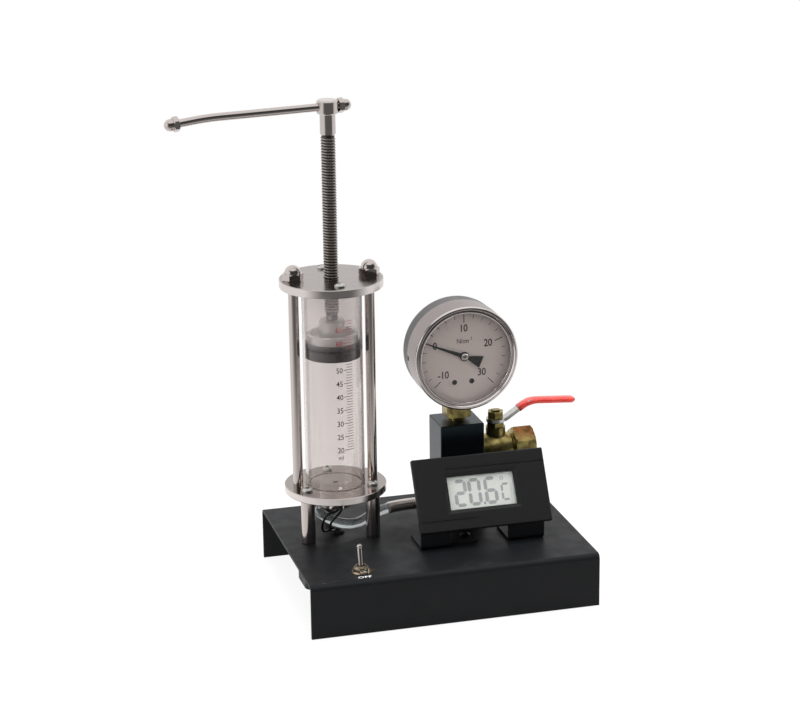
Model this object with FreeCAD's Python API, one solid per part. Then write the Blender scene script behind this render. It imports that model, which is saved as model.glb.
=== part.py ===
import FreeCAD, Part
import math
import os
from FreeCAD import Vector

# Gas law apparatus: a graduated barrel with a screw-driven piston, a pressure gauge with a
# ball valve on a manifold, and a digital thermometer, all on one folded sheet base.
# Millimetres. X runs along the base's long side, Y to its back and Z up. The build frame has
# its origin at the base's front left bottom corner, and export moves it to the bottom centre
# of the whole part's box.

# Base sheet
BASE_LENGTH = 156.5
BASE_DEPTH = 120.0
BASE_HEIGHT = 29.0
BASE_SHEET = 1.5
BASE_BEND = 1.5

# Column of plates, rods and barrel
COLUMN_X = 31.3
COLUMN_Y = 72.3
LEG_LENGTH = 25.0
LEG_DIAMETER = 7.6
LEG_ANGLES = (210, 330, 90)
FIXING_CIRCLE = 20.6
PLATE_DIAMETER = 55.0
BOTTOM_PLATE_THICK = 4.0
TOP_PLATE_THICK = 4.5
PLATE_SPACING = 109.5
BARREL_OUTER = 32.0
BARREL_BORE = 29.4
SEAT_DEPTH = 1.0
SEAT_CLEARANCE = 0.3
PLATE_EDGE = 0.35
GASKET_THICK = 0.8
GASKET_WIDTH = 2.2
ROD_DIAMETER = 5.4
ROD_STUD = 5.0
ROD_FOOT_STUD = 4.0
ACORN_FLATS = 10.0
ACORN_HEX_HEIGHT = 4.0
ACORN_DOME = 8.8
ACORN_HEIGHT = 8.2
PLATE_SCREW_DIAMETER = 3.0
PLATE_SCREW_HEAD = 5.8
PLATE_SCREW_HEAD_HEIGHT = 1.8
PLATE_SCREW_TAIL = 1.2
LEG_SCREW_DIAMETER = 4.0
LEG_SCREW_HEAD = 5.8
LEG_SCREW_HEAD_HEIGHT = 2.0
LEG_SCREW_DEPTH = 8.0
SOCKET_FLATS = 2.5
BASE_SCREW_HEAD = 7.2
BASE_SCREW_DEPTH = 7.0

# Piston, swivel and screw
PISTON_CLEARANCE = 0.05
PISTON_BOTTOM = 71.2
SEAL_HEIGHT = 8.6
SEAL_GROOVE_AT = 5.7
SEAL_GROOVE = 0.8
PISTON_CORE_DIAMETER = 22.6
PISTON_CORE_HEIGHT = 12.9
PISTON_CUP_DIAMETER = 27.4
PISTON_CUP_WALL = 1.8
PISTON_CUP_DEPTH = 3.4
HUB_DIAMETER = 14.0
HUB_HEIGHT = 20.1
CAP_HEIGHT = 4.0
CAP_FLATS = 11.5
BUTTON_DIAMETER = 9.0
BUTTON_HEIGHT = 3.0
NECK_DIAMETER = 6.0
NECK_LENGTH = 4.1
SWIVEL_CLEARANCE = 0.06
SCREW_DIAMETER = 8.0
SCREW_PITCH = 1.5
SPIGOT_SHORT = 2.0
SCREW_LENGTH = 94.3
COLLAR_DIAMETER = 8.2
COLLAR_LENGTH = 11.4
HEAD_DIAMETER = 11.3
HEAD_HEIGHT = 7.2
BAR_DIAMETER = 4.2
BAR_CLEARANCE = 0.05
BAR_LEFT_STRAIGHT = 66.0
BAR_LEFT_BENT = 15.0
BAR_BEND_ANGLE = 5.5
BAR_NUT_FLATS = 7.0
BAR_NUT_HEX = 2.9
BAR_NUT_DOME = 6.2
BAR_NUT_LENGTH = 7.4
BAR_TURN = 9.4

# Port block, hose and sensor leads
PORT_BLOCK_DIAMETER = 18.0
PORT_BLOCK_HEIGHT = 9.0
PORT_DIAMETER = 2.5
HOSE_DIAMETER = 5.8
HOSE_FERRULE = 7.4
ELBOW_DIAMETER = 7.0
ELBOW_OFFSET = (-13.4, 8.7)
ELBOW_DROP = 7.8
ELBOW_THREAD = 5.0
ELBOW_GRIP = 4.0
UNION_REACH = 4.65
UNION_GRIP = 6.0
PROBE_OFFSET = (-0.2, -11.4)
PROBE_DIAMETER = 3.0
PROBE_TIP = 1.0
PROBE_SHANK = 5.0
LEAD_SPACING = 1.5
GLAND_FLATS = 5.5
GLAND_HEIGHT = 3.0
LEAD_DIAMETER = 1.3
GROMMET_X = 31.6
GROMMET_Y = 72.3
GROMMET_OUTER = 8.0
GROMMET_HOLE = 3.6
GROMMET_GROOVE = 6.0
GROMMET_LIP = 1.5

# Manifold
MANIFOLD_X = 101.2
MANIFOLD_Y = 78.2
MANIFOLD_WIDTH = 24.5
MANIFOLD_DEPTH = 23.5
MANIFOLD_HEIGHT = 56.0
MANIFOLD_EDGE = 0.5
GALLERY_DIAMETER = 5.0
HOSE_PORT_HEIGHT = 9.5
VALVE_HEIGHT = 37.0
MANIFOLD_SCREW = 4.0
MANIFOLD_SCREW_SPACING = 13.0
MANIFOLD_SCREW_DEPTH = 8.0

# Gauge
GAUGE_DIAMETER = 57.4
GAUGE_HEIGHT = 39.9
GAUGE_FRONT = 20.7
GAUGE_RING_DEPTH = 16.0
RING_NOTCH_WIDTH = 2.6
RING_NOTCH_LENGTH = 3.2
RING_NOTCH_DROP = 1.0
GAUGE_CASE_DIAMETER = 56.6
GAUGE_CASE_DEPTH = 11.5
GAUGE_CASE_EDGE = 2.5
GAUGE_WALL = 0.8
GAUGE_LIP = 2.4
GAUGE_LIP_THICK = 1.6
GLASS_THICK = 1.5
DIAL_DEPTH = 6.2
DIAL_THICK = 0.8
SOCKET_SHANK = 9.0
SOCKET_FLATS_WIDTH = 13.4
SOCKET_FLATS_HEIGHT = 6.5
SOCKET_NECK_HEIGHT = 2.5
SOCKET_THREAD_LENGTH = 9.0
TUBE_RADIUS = 17.0
TUBE_WIDTH = 7.0
TUBE_THICK = 3.2
TUBE_WALL = 0.5
MOVEMENT_FRONT = 9.0
MOVEMENT_BACK = 13.5
MOVEMENT_PLATE = 1.0
MOVEMENT_WIDTH = 16.0
PILLAR_DIAMETER = 2.4
PILLAR_OUT = 5.5
PILLAR_INSET = 3.0
BLOCK_SIZE = 12.0
BLOCK_HEIGHT = 10.0
BLOCK_LIFT = 4.0
POINTER_DEPTH = 4.9
POINTER_LENGTH = 21.6
POINTER_TAIL = 10.0
POINTER_HUB = 5.0
POINTER_THICK = 0.5
POINTER_ZERO = 157.5
ARBOR_DIAMETER = 1.6
DIAL_SCREW_HEAD = 2.8
DIAL_SCREW_HEAD_HEIGHT = 0.8
DIAL_SCREW_LENGTH = 3.6
DIAL_SCREW_PLACES = ((-5.4, -14.2), (4.2, -14.2))

# Ball valve
VALVE_BALL = 11.0
VALVE_BORE = 5.0
VALVE_CENTRE = 10.0
VALVE_CHAMBER = 17.6
VALVE_SHANK = 9.7
VALVE_SHANK_LENGTH = 8.0
VALVE_COLLAR = 16.0
VALVE_COLLAR_LENGTH = 2.4
VALVE_CAVITY = 11.8
VALVE_SEAT = 7.0
VALVE_SEAT_LENGTH = 3.6
VALVE_WAIST = 14.0
VALVE_CAP_START = 19.4
VALVE_CAP_FLATS = 19.0
VALVE_CAP_LENGTH = 11.4
VALVE_OUTLET = 11.4
VALVE_OUTLET_DEPTH = 8.0
VALVE_BOSS = 10.8
VALVE_BOSS_TOP = 12.5
GLAND_NUT_FLATS = 9.0
GLAND_NUT_HEIGHT = 3.0
STEM_DIAMETER = 5.0
STEM_FLATS = 3.6
TANG_WIDTH = 2.0
TANG_DEPTH = 1.6
PACKING_DIAMETER = 7.2
PACKING_HEIGHT = 3.0
PACKING_DROP = 1.5
LEVER_THICK = 1.8
LEVER_WIDTH = 10.4
LEVER_GRIP_WIDTH = 5.4
LEVER_FLAT = 5.2
LEVER_RISE = 9.2
LEVER_RUN = 13.9
LEVER_GRIP = 26.0
LEVER_DROOP = 4.0
LEVER_BEND = 3.0
SLEEVE_WALL = 0.75
SLEEVE_START = 9.2
SLEEVE_ROUND = 1.0
LEVER_NUT_FLATS = 8.0
LEVER_NUT_HEIGHT = 4.0
FIT = 0.05

# Thermometer and its bracket
THERMO_X = 67.2
THERMO_Y = 29.1
THERMO_LIFT = 10.5
THERMO_WIDTH = 73.2
THERMO_HEIGHT = 40.0
THERMO_TILT = 29.4
BEZEL_THICK = 3.0
BEZEL_EDGE = 0.8
BODY_INSET = 4.0
BODY_DEPTH = 12.0
BODY_WALL = 1.5
WINDOW_X = 18.2
WINDOW_Z = 11.2
WINDOW_WIDTH = 37.0
WINDOW_HEIGHT = 17.8
WINDOW_FRAME = 2.2
RIDGE_WIDTH = 0.8
RIDGE_DEPTH = 0.4
RIDGE_TOP = 33.2
RIDGE_BOTTOM = 6.0
RIDGE_BOTTOM_LENGTH = 30.8
BRACKET_SHEET = 1.5
BRACKET_BEND = 1.0
BRACKET_FLANGE = 21.0
FOOT_LEFT_WIDTH = 33.5
LEG_LEFT_WIDTH = 16.0
FOOT_RIGHT_WIDTH = 20.0
FOOT_RIGHT_INSET = 4.2
FOOT_CORNER = 5.0
BRACKET_SCREW = 3.0
BRACKET_SCREW_HEAD = 5.6
BRACKET_SCREW_HEAD_HEIGHT = 1.8
BRACKET_SCREW_TAIL = 3.4
BRACKET_NUT_FLATS = 5.5
BRACKET_NUT_HEIGHT = 2.4
BRACKET_EDGE = 0.5
BRACKET_SCREW_BACK = 12.0
LEFT_SCREWS_IN = (8.0, 27.5)
RIGHT_SCREW_IN = 10.0
LCD_THICK = 2.2
BOARD_THICK = 1.6
WINDOW_THICK = 1.0

# Toggle switch
SWITCH_X = 29.8
SWITCH_Y = 12.8
SWITCH_BUSHING = 6.0
SWITCH_NUT_FLATS = 8.0
SWITCH_NUT_HEIGHT = 2.0
SWITCH_WASHER = 10.0
SWITCH_WASHER_THICK = 0.5
SWITCH_TAB = 7.8
SWITCH_TAB_HOLE = 1.1
SWITCH_TAB_HOLE_AT = 5.6
SWITCH_BODY = (7.4, 13.0, 10.0)
SWITCH_BUSHING_TOP = 3.8
SWITCH_BORE = 4.4
TOGGLE_PIVOT = 2.0
TOGGLE_JOINT = 3.2
TOGGLE_TIP = 14.9
TOGGLE_TILT = 12.0
TOGGLE_BASE = 2.7
TOGGLE_END = 2.7
TOGGLE_BALL = 2.9
TOGGLE_PIN = 1.2
TOGGLE_PIN_LENGTH = 4.0
TOGGLE_ROOM = 5.0
TOGGLE_TAIL = 4.0

# Coin cell and its holder under the top sheet
CELL_DIAMETER = 20.0
CELL_THICK = 3.2
HOLDER_LEFT = 0.3
HOLDER_LENGTH = 24.0
HOLDER_FRONT = 11.0
HOLDER_WIDTH = 22.0
HOLDER_THICK = 4.6
HOLDER_CORNER = 4.0
CLIP_WIDTH = 5.0
CLIP_THICK = 0.4

# Routes of the hose and the two sensor leads between their ends: points chosen by hand, with
# heights above the base's sheet
HOSE_BENDS = [
    (17.9, 71.3, 17.2), (20.0, 67.1, 14.3), (25.2, 64.6, 10.9), (31.6, 63.6, 8.1), (38.6, 64.8, 6.5),
    (44.4, 68.6, 6.1), (49.6, 72.8, 6.9), (56.2, 76.0, 8.3), (65.0, 77.7, 9.2), (74.7, 78.2, 9.5),
]
LEAD_BENDS = {
    "left": [
        (30.35, 60.9, 17.9), (28.5, 60.3, 16.3), (25.5, 60.0, 16.0), (22.9, 60.6, 14.4), (21.6, 61.9, 10.9),
        (21.2, 63.8, 7.0), (22.4, 66.6, 3.6), (25.5, 69.4, 2.2), (28.7, 71.3, 3.2), (30.85, 72.3, 2.3),
        (30.85, 72.3, -0.1),
    ],
    "right": [
        (31.85, 60.9, 17.5), (30.3, 60.0, 15.4), (27.8, 59.3, 13.7), (25.6, 60.1, 10.8), (25.0, 61.7, 7.2),
        (26.0, 64.4, 4.0), (28.4, 67.4, 2.8), (30.9, 70.1, 3.3), (32.35, 72.3, 2.2), (32.35, 72.3, -0.4),
    ],
}

X_AXIS = Vector(1, 0, 0)
Y_AXIS = Vector(0, 1, 0)
Z_AXIS = Vector(0, 0, 1)

# Heights and places worked out from the driving dimensions
BOTTOM_PLATE_Z = BASE_HEIGHT + LEG_LENGTH
CHAMBER_Z = BOTTOM_PLATE_Z + BOTTOM_PLATE_THICK
TOP_PLATE_Z = CHAMBER_Z + PLATE_SPACING
COLUMN_TOP = TOP_PLATE_Z + TOP_PLATE_THICK
PISTON_Z = CHAMBER_Z + PISTON_BOTTOM
HUB_TOP = PISTON_Z + HUB_HEIGHT
SCREW_Z = HUB_TOP + NECK_LENGTH
COLLAR_Z = SCREW_Z + SCREW_LENGTH
HEAD_Z = COLLAR_Z + COLLAR_LENGTH
BAR_Z = HEAD_Z + HEAD_HEIGHT / 2
MANIFOLD_TOP = BASE_HEIGHT + MANIFOLD_HEIGHT
MANIFOLD_LEFT = MANIFOLD_X - MANIFOLD_WIDTH / 2
MANIFOLD_RIGHT = MANIFOLD_X + MANIFOLD_WIDTH / 2
HOSE_PORT_Z = BASE_HEIGHT + HOSE_PORT_HEIGHT
VALVE_Z = BASE_HEIGHT + VALVE_HEIGHT
VALVE_X = MANIFOLD_RIGHT + VALVE_CENTRE
GAUGE_Z = MANIFOLD_TOP + GAUGE_HEIGHT
GAUGE_FRONT_Y = MANIFOLD_Y - GAUGE_FRONT
SHEET_UNDERSIDE = BASE_HEIGHT - BASE_SHEET
ELBOW_Z = BOTTOM_PLATE_Z - ELBOW_DROP
ELBOW_X = COLUMN_X + ELBOW_OFFSET[0]
ELBOW_Y = COLUMN_Y + ELBOW_OFFSET[1]
PROBE_X = COLUMN_X + PROBE_OFFSET[0]
PROBE_Y = COLUMN_Y + PROBE_OFFSET[1]
LEAD_TOP = BOTTOM_PLATE_Z - PROBE_SHANK
FOOT_RIGHT_START = THERMO_WIDTH - FOOT_RIGHT_INSET - FOOT_RIGHT_WIDTH


def above_sheet(points):
    return [(x, y, BASE_HEIGHT + z) for x, y, z in points]


HOSE_START = (ELBOW_X, ELBOW_Y - 4.8, ELBOW_Z)
HOSE_END = (MANIFOLD_LEFT - UNION_REACH, MANIFOLD_Y, HOSE_PORT_Z)
HOSE_ROUTE = [HOSE_START] + above_sheet(HOSE_BENDS) + [HOSE_END]
LEAD_ROUTES = {
    side: [(PROBE_X + sign * LEAD_SPACING / 2, PROBE_Y, LEAD_TOP)] + above_sheet(LEAD_BENDS[side])
    for side, sign in (("left", -1), ("right", 1))
}


# Building helpers

def cylinder(radius, length, start, axis=Z_AXIS):
    return Part.makeCylinder(radius, length, Vector(*start), axis)


def box(size, corner):
    return Part.makeBox(*size, Vector(*corner))


def ring(outer, inner, length, start, axis=Z_AXIS):
    hole = cylinder(inner, length, start, axis)
    return cylinder(outer, length, start, axis).cut(hole)


def hexagon(flats, length, start, axis=Z_AXIS, turn=0.0):
    """A hexagonal bar of this width across flats, standing on start."""
    corners = []
    for step in range(7):
        angle = math.radians(60 * step + turn)
        radius = flats / math.sqrt(3)
        corners.append(Vector(radius * math.cos(angle), radius * math.sin(angle), 0))
    bar = Part.Face(Part.makePolygon(corners)).extrude(Vector(0, 0, length))
    bar.Placement = FreeCAD.Placement(Vector(*start), FreeCAD.Rotation(Z_AXIS, axis))
    return bar


def outline_wire(steps, place):
    """A closed wire. Each step is a point, or a pair of points, which is an arc through the first."""
    edges = []
    here = steps[0]
    for step in steps[1:] + [steps[0]]:
        if isinstance(step[0], tuple):
            edges.append(Part.Arc(place(*here), place(*step[0]), place(*step[1])).toShape())
            here = step[1]
        elif step != here:
            edges.append(Part.LineSegment(place(*here), place(*step)).toShape())
            here = step
    return Part.Wire(edges)


def turned(steps, start, axis=Z_AXIS):
    """A turned solid from an outline of radius and height above start, along axis."""
    face = Part.Face(outline_wire(steps, lambda radius, height: Vector(radius, 0, height)))
    solid = face.revolve(Vector(0, 0, 0), Z_AXIS, 360)
    solid.Placement = FreeCAD.Placement(Vector(*start), FreeCAD.Rotation(Z_AXIS, axis))
    return solid


def strip_outline(points, thickness, inner_radius):
    """The outline of a bent sheet whose middle line follows the points, as outline steps."""
    middle_radius = inner_radius + thickness / 2
    sides = ([], [])
    directions = []
    for a, b in zip(points, points[1:]):
        length = math.dist(a, b)
        directions.append(((b[0] - a[0]) / length, (b[1] - a[1]) / length))
    for index, point in enumerate(points):
        before = directions[max(index - 1, 0)]
        after = directions[min(index, len(directions) - 1)]
        for side, sign in zip(sides, (1, -1)):
            normals = [(-d[1] * sign, d[0] * sign) for d in (before, after)]
            if index in (0, len(points) - 1):
                normal = normals[0]
                side.append((point[0] + normal[0] * thickness / 2, point[1] + normal[1] * thickness / 2))
                continue
            cross = before[0] * after[1] - before[1] * after[0]
            turn = math.acos(before[0] * after[0] + before[1] * after[1])
            setback = middle_radius * math.tan(turn / 2)
            inner = 1 if cross > 0 else -1
            start = (point[0] - before[0] * setback, point[1] - before[1] * setback)
            arm = inner * middle_radius
            centre = (start[0] - before[1] * arm, start[1] + before[0] * arm)
            radius = middle_radius - inner * sign * thickness / 2
            spokes = []
            for share in (0.0, 0.5, 1.0):
                angle = math.atan2(start[1] - centre[1], start[0] - centre[0]) + inner * turn * share
                spokes.append((centre[0] + radius * math.cos(angle), centre[1] + radius * math.sin(angle)))
            side.append(spokes)
    steps = []
    for item in sides[0]:
        if isinstance(item, list):
            steps.append(item[0])
            steps.append((item[1], item[2]))
        else:
            steps.append(item)
    for item in reversed(sides[1]):
        if isinstance(item, list):
            steps.append(item[2])
            steps.append((item[1], item[0]))
        else:
            steps.append(item)
    return steps


def bent_sheet(points, thickness, inner_radius, start_x, width):
    """A bent sheet that runs along X, from points in Y and Z."""
    steps = strip_outline(points, thickness, inner_radius)
    face = Part.Face(outline_wire(steps, lambda y, z: Vector(start_x, y, z)))
    return face.extrude(Vector(width, 0, 0))


def pan_screw(head, head_height, shank, length, start, axis=Z_AXIS):
    """A domed screw whose head stands on start, with a slot across the head."""
    rise = head_height * 0.35
    steps = [(0, -length), (shank / 2, -length), (shank / 2, 0), (head / 2, 0), (head / 2, rise),
             ((head * 0.36, head_height * 0.83), (0, head_height))]
    screw = turned(steps, (0, 0, 0))
    slot = box((head + 1, head * 0.17, head_height), (-head / 2 - 0.5, -head * 0.085, head_height * 0.5))
    screw = screw.cut(slot)
    screw.Placement = FreeCAD.Placement(Vector(*start), FreeCAD.Rotation(Z_AXIS, axis))
    return screw


def socket_screw(head, head_height, shank, length, start, axis=Z_AXIS):
    """A button head screw with a hexagon socket, whose head stands on start."""
    steps = [(0, -length), (shank / 2, -length), (shank / 2, 0), (head / 2, 0), (head / 2, head_height * 0.3),
             ((head * 0.4, head_height * 0.8), (head * 0.27, head_height)), (0, head_height)]
    screw = turned(steps, (0, 0, 0))
    screw = screw.cut(hexagon(SOCKET_FLATS, head_height, (0, 0, head_height * 0.35)))
    screw.Placement = FreeCAD.Placement(Vector(*start), FreeCAD.Rotation(Z_AXIS, axis))
    return screw


def acorn_nut(flats, hex_height, dome, height, bore, start, axis=Z_AXIS):
    """A domed cap nut with a blind bore, standing on start."""
    chamfer = flats * 0.07
    corner = flats / math.sqrt(3)
    cone = turned([(0, 0), (corner - chamfer, 0), (corner, chamfer), (corner, hex_height - chamfer),
                   (corner - chamfer, hex_height), (0, hex_height)], (0, 0, 0))
    nut = hexagon(flats, hex_height, (0, 0, 0)).common(cone)
    middle = height - dome / 2
    cap = turned([(0, hex_height * 0.5), (dome / 2, hex_height * 0.5), (dome / 2, middle),
                  ((dome / 2 * math.sin(math.pi / 4), middle + dome / 2 * math.cos(math.pi / 4)),
                   (0, height))], (0, 0, 0))
    nut = nut.fuse(cap).removeSplitter()
    nut = nut.cut(cylinder(bore / 2, height * 0.72, (0, 0, 0)))
    nut.Placement = FreeCAD.Placement(Vector(*start), FreeCAD.Rotation(Z_AXIS, axis))
    return nut


def around_column(angle, radius=FIXING_CIRCLE):
    """The X and Y of a point on a circle about the column's axis."""
    turn = math.radians(angle)
    return COLUMN_X + radius * math.cos(turn), COLUMN_Y + radius * math.sin(turn)


def cord_tube(points, diameter):
    """A round cord along straight runs joined by tangent arcs, and the arcs' radii."""
    knots = [Vector(*point) for point in points]
    edges = []
    radii = []
    here = knots[0]
    for before, corner, after in zip(knots, knots[1:], knots[2:]):
        arriving = (corner - before).normalize()
        leaving = (after - corner).normalize()
        half_turn = arriving.getAngle(leaving) / 2
        setback = 0.45 * min((corner - before).Length, (after - corner).Length)
        radii.append(setback / math.tan(half_turn))
        start = corner - arriving * setback
        end = corner + leaving * setback
        inward = (leaving - arriving).normalize()
        depth = radii[-1] / math.cos(half_turn) - radii[-1]
        edges.append(Part.LineSegment(here, start).toShape())
        edges.append(Part.Arc(start, corner + inward * depth, end).toShape())
        here = end
    edges.append(Part.LineSegment(here, knots[-1]).toShape())
    path = Part.Wire(edges)
    section = Part.Wire(Part.Circle(knots[0], knots[1] - knots[0], diameter / 2).toShape())
    tube = path.makePipeShell([section], True, True)
    return tube, radii, path.Length


# Base and what is fixed under it

def manifold_screw_places():
    return [(MANIFOLD_X, MANIFOLD_Y + side * MANIFOLD_SCREW_SPACING / 2) for side in (-1, 1)]


def bracket_screw_places():
    back = bracket_leg_y() + BRACKET_SCREW_BACK
    left = THERMO_X + BRACKET_EDGE
    return [(left + x, back) for x in (*LEFT_SCREWS_IN, FOOT_RIGHT_START + RIGHT_SCREW_IN)]


def base_channel():
    half = BASE_SHEET / 2
    back = BASE_DEPTH - half
    points = [(half, 0), (half, BASE_HEIGHT - half), (back, BASE_HEIGHT - half), (back, 0)]
    sheet = bent_sheet(points, BASE_SHEET, BASE_BEND, 0, BASE_LENGTH)
    holes = [(around_column(angle), LEG_SCREW_DIAMETER) for angle in LEG_ANGLES]
    holes += [(place, MANIFOLD_SCREW) for place in manifold_screw_places()]
    holes += [(place, BRACKET_SCREW) for place in bracket_screw_places()]
    holes += [((SWITCH_X, SWITCH_Y), SWITCH_BUSHING), ((GROMMET_X, GROMMET_Y), GROMMET_GROOVE)]
    for (x, y), diameter in holes:
        sheet = sheet.cut(cylinder(diameter / 2 + FIT, 4 * BASE_SHEET, (x, y, SHEET_UNDERSIDE - BASE_SHEET)))
    return sheet


def leg(angle):
    x, y = around_column(angle)
    post = cylinder(LEG_DIAMETER / 2, LEG_LENGTH, (x, y, BASE_HEIGHT))
    post = post.makeChamfer(0.4, post.Edges)
    hole = LEG_SCREW_DIAMETER / 2 + FIT
    upper = cylinder(hole, LEG_SCREW_DEPTH + 1, (x, y, BOTTOM_PLATE_Z - LEG_SCREW_DEPTH - 1))
    lower = cylinder(hole, LEG_SCREW_DEPTH + 1, (x, y, BASE_HEIGHT))
    return post.cut(upper).cut(lower)


def leg_screws():
    screws = []
    for angle in LEG_ANGLES:
        start = (*around_column(angle), CHAMBER_Z)
        length = BOTTOM_PLATE_THICK + LEG_SCREW_DEPTH
        screws.append(socket_screw(LEG_SCREW_HEAD, LEG_SCREW_HEAD_HEIGHT, LEG_SCREW_DIAMETER, length, start))
    return Part.makeCompound(screws)


def screws_under_base(places, diameter, head, depth):
    """Screws whose heads bear on the sheet's underside and reach up past its top."""
    screws = []
    for x, y in places:
        start = (x, y, SHEET_UNDERSIDE)
        screws.append(pan_screw(head, diameter * 0.6, diameter, BASE_SHEET + depth, start, -Z_AXIS))
    return Part.makeCompound(screws)


def grommet():
    lip = GROMMET_OUTER / 2
    groove = GROMMET_GROOVE / 2
    hole = GROMMET_HOLE / 2
    low = SHEET_UNDERSIDE - GROMMET_LIP
    high = BASE_HEIGHT + GROMMET_LIP
    steps = [(hole, low), (lip - 0.5, low), (lip, low + 0.6), (lip, SHEET_UNDERSIDE),
             (groove, SHEET_UNDERSIDE), (groove, BASE_HEIGHT), (lip, BASE_HEIGHT),
             ((lip - 0.4, high - 0.4), (lip - 1.2, high)), (hole, high)]
    return turned(steps, (GROMMET_X, GROMMET_Y, 0))


# Column

def barrel_seat(z, height):
    """The ring-shaped seat that a plate has for the barrel's end and its gasket."""
    outer = BARREL_OUTER / 2 + SEAT_CLEARANCE
    return ring(outer, BARREL_BORE / 2 - 0.9, height, (COLUMN_X, COLUMN_Y, z))


def bottom_plate():
    plate = cylinder(PLATE_DIAMETER / 2, BOTTOM_PLATE_THICK, (COLUMN_X, COLUMN_Y, BOTTOM_PLATE_Z))
    plate = plate.makeChamfer(PLATE_EDGE, plate.Edges)
    plate = plate.cut(barrel_seat(CHAMBER_Z - SEAT_DEPTH, SEAT_DEPTH + 1))
    holes = [(around_column(angle), LEG_SCREW_DIAMETER) for angle in LEG_ANGLES]
    holes += [(around_column(angle), ROD_FOOT_STUD) for angle in (0, 180)]
    holes += [((PROBE_X, PROBE_Y), PROBE_DIAMETER), ((COLUMN_X, COLUMN_Y), PORT_DIAMETER)]
    for (x, y), diameter in holes:
        start = (x, y, BOTTOM_PLATE_Z - BOTTOM_PLATE_THICK)
        plate = plate.cut(cylinder(diameter / 2 + FIT, 3 * BOTTOM_PLATE_THICK, start))
    return plate


def top_plate():
    plate = cylinder(PLATE_DIAMETER / 2, TOP_PLATE_THICK, (COLUMN_X, COLUMN_Y, TOP_PLATE_Z))
    plate = plate.makeChamfer(PLATE_EDGE, plate.Edges)
    plate = plate.cut(barrel_seat(TOP_PLATE_Z - 1, SEAT_DEPTH + 1))
    holes = [(around_column(angle), ROD_STUD) for angle in (0, 180)]
    holes += [(around_column(angle, FIXING_CIRCLE - 1), PLATE_SCREW_DIAMETER) for angle in (90, 270)]
    holes += [((COLUMN_X, COLUMN_Y), SCREW_DIAMETER)]
    for (x, y), diameter in holes:
        start = (x, y, TOP_PLATE_Z - TOP_PLATE_THICK)
        plate = plate.cut(cylinder(diameter / 2 + FIT, 3 * TOP_PLATE_THICK, start))
    return plate


def plate_screws():
    screws = []
    for angle in (90, 270):
        start = (*around_column(angle, FIXING_CIRCLE - 1), COLUMN_TOP)
        length = TOP_PLATE_THICK + PLATE_SCREW_TAIL
        screws.append(pan_screw(PLATE_SCREW_HEAD, PLATE_SCREW_HEAD_HEIGHT, PLATE_SCREW_DIAMETER, length,
                                start))
    return Part.makeCompound(screws)


def barrel():
    low = CHAMBER_Z - SEAT_DEPTH + GASKET_THICK
    length = PLATE_SPACING + 2 * (SEAT_DEPTH - GASKET_THICK)
    return ring(BARREL_OUTER / 2, BARREL_BORE / 2, length, (COLUMN_X, COLUMN_Y, low))


def gasket(z):
    outer = BARREL_OUTER / 2 + 0.2
    return ring(outer, outer - GASKET_WIDTH, GASKET_THICK, (COLUMN_X, COLUMN_Y, z))


def tie_rod(angle):
    x, y = around_column(angle)
    rod = cylinder(ROD_DIAMETER / 2, PLATE_SPACING, (x, y, CHAMBER_Z))
    foot = cylinder(ROD_FOOT_STUD / 2, BOTTOM_PLATE_THICK, (x, y, BOTTOM_PLATE_Z))
    stud = cylinder(ROD_STUD / 2, TOP_PLATE_THICK + ACORN_HEIGHT * 0.6, (x, y, TOP_PLATE_Z))
    return rod.fuse(foot).fuse(stud)


def rod_nut(angle):
    start = (*around_column(angle), COLUMN_TOP)
    return acorn_nut(ACORN_FLATS, ACORN_HEX_HEIGHT, ACORN_DOME, ACORN_HEIGHT, ROD_STUD + 2 * FIT, start)


def port_block():
    low = BOTTOM_PLATE_Z - PORT_BLOCK_HEIGHT
    block = cylinder(PORT_BLOCK_DIAMETER / 2, PORT_BLOCK_HEIGHT, (COLUMN_X, COLUMN_Y, low))
    block = block.makeChamfer(0.5, block.Edges)
    centre = Vector(COLUMN_X, COLUMN_Y, ELBOW_Z)
    block = block.cut(cylinder(PORT_DIAMETER / 2, ELBOW_DROP, centre))
    direction = Vector(*ELBOW_OFFSET, 0).normalize()
    block = block.cut(cylinder(PORT_DIAMETER / 2, PORT_BLOCK_DIAMETER, centre, direction))
    mouth = centre + direction * (PORT_BLOCK_DIAMETER / 2 - ELBOW_GRIP)
    block = block.cut(cylinder(ELBOW_THREAD / 2 + FIT, 2 * ELBOW_GRIP, tuple(mouth), direction))
    relief = cylinder(GLAND_FLATS / math.sqrt(3) + 0.4, PORT_BLOCK_HEIGHT + 2, (PROBE_X, PROBE_Y, low - 1))
    return block.cut(relief)


def hose_elbow():
    """A block elbow that screws into the port block and turns the hose forwards."""
    centre = (ELBOW_X, ELBOW_Y, ELBOW_Z)
    direction = Vector(*ELBOW_OFFSET, 0).normalize()
    height = ELBOW_DIAMETER
    body = cylinder(ELBOW_DIAMETER / 2, height, (ELBOW_X, ELBOW_Y, ELBOW_Z - height / 2))
    body = body.makeChamfer(0.5, body.Edges)
    reach = Vector(*ELBOW_OFFSET, 0).Length - (PORT_BLOCK_DIAMETER / 2 - ELBOW_GRIP)
    inlet = cylinder(ELBOW_THREAD / 2, reach, centre, -direction)
    outlet = cylinder(HOSE_FERRULE / 2, ELBOW_Y - HOSE_START[1], centre, -Y_AXIS)
    return body.fuse(inlet).fuse(outlet)


def sensor_gland():
    """The threaded bush that holds the temperature probe in the bottom plate."""
    start = (PROBE_X, PROBE_Y, BOTTOM_PLATE_Z - GLAND_HEIGHT)
    bush = hexagon(GLAND_FLATS, GLAND_HEIGHT, start)
    return bush.cut(cylinder(PROBE_DIAMETER / 2 + FIT, GLAND_HEIGHT, start))


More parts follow.
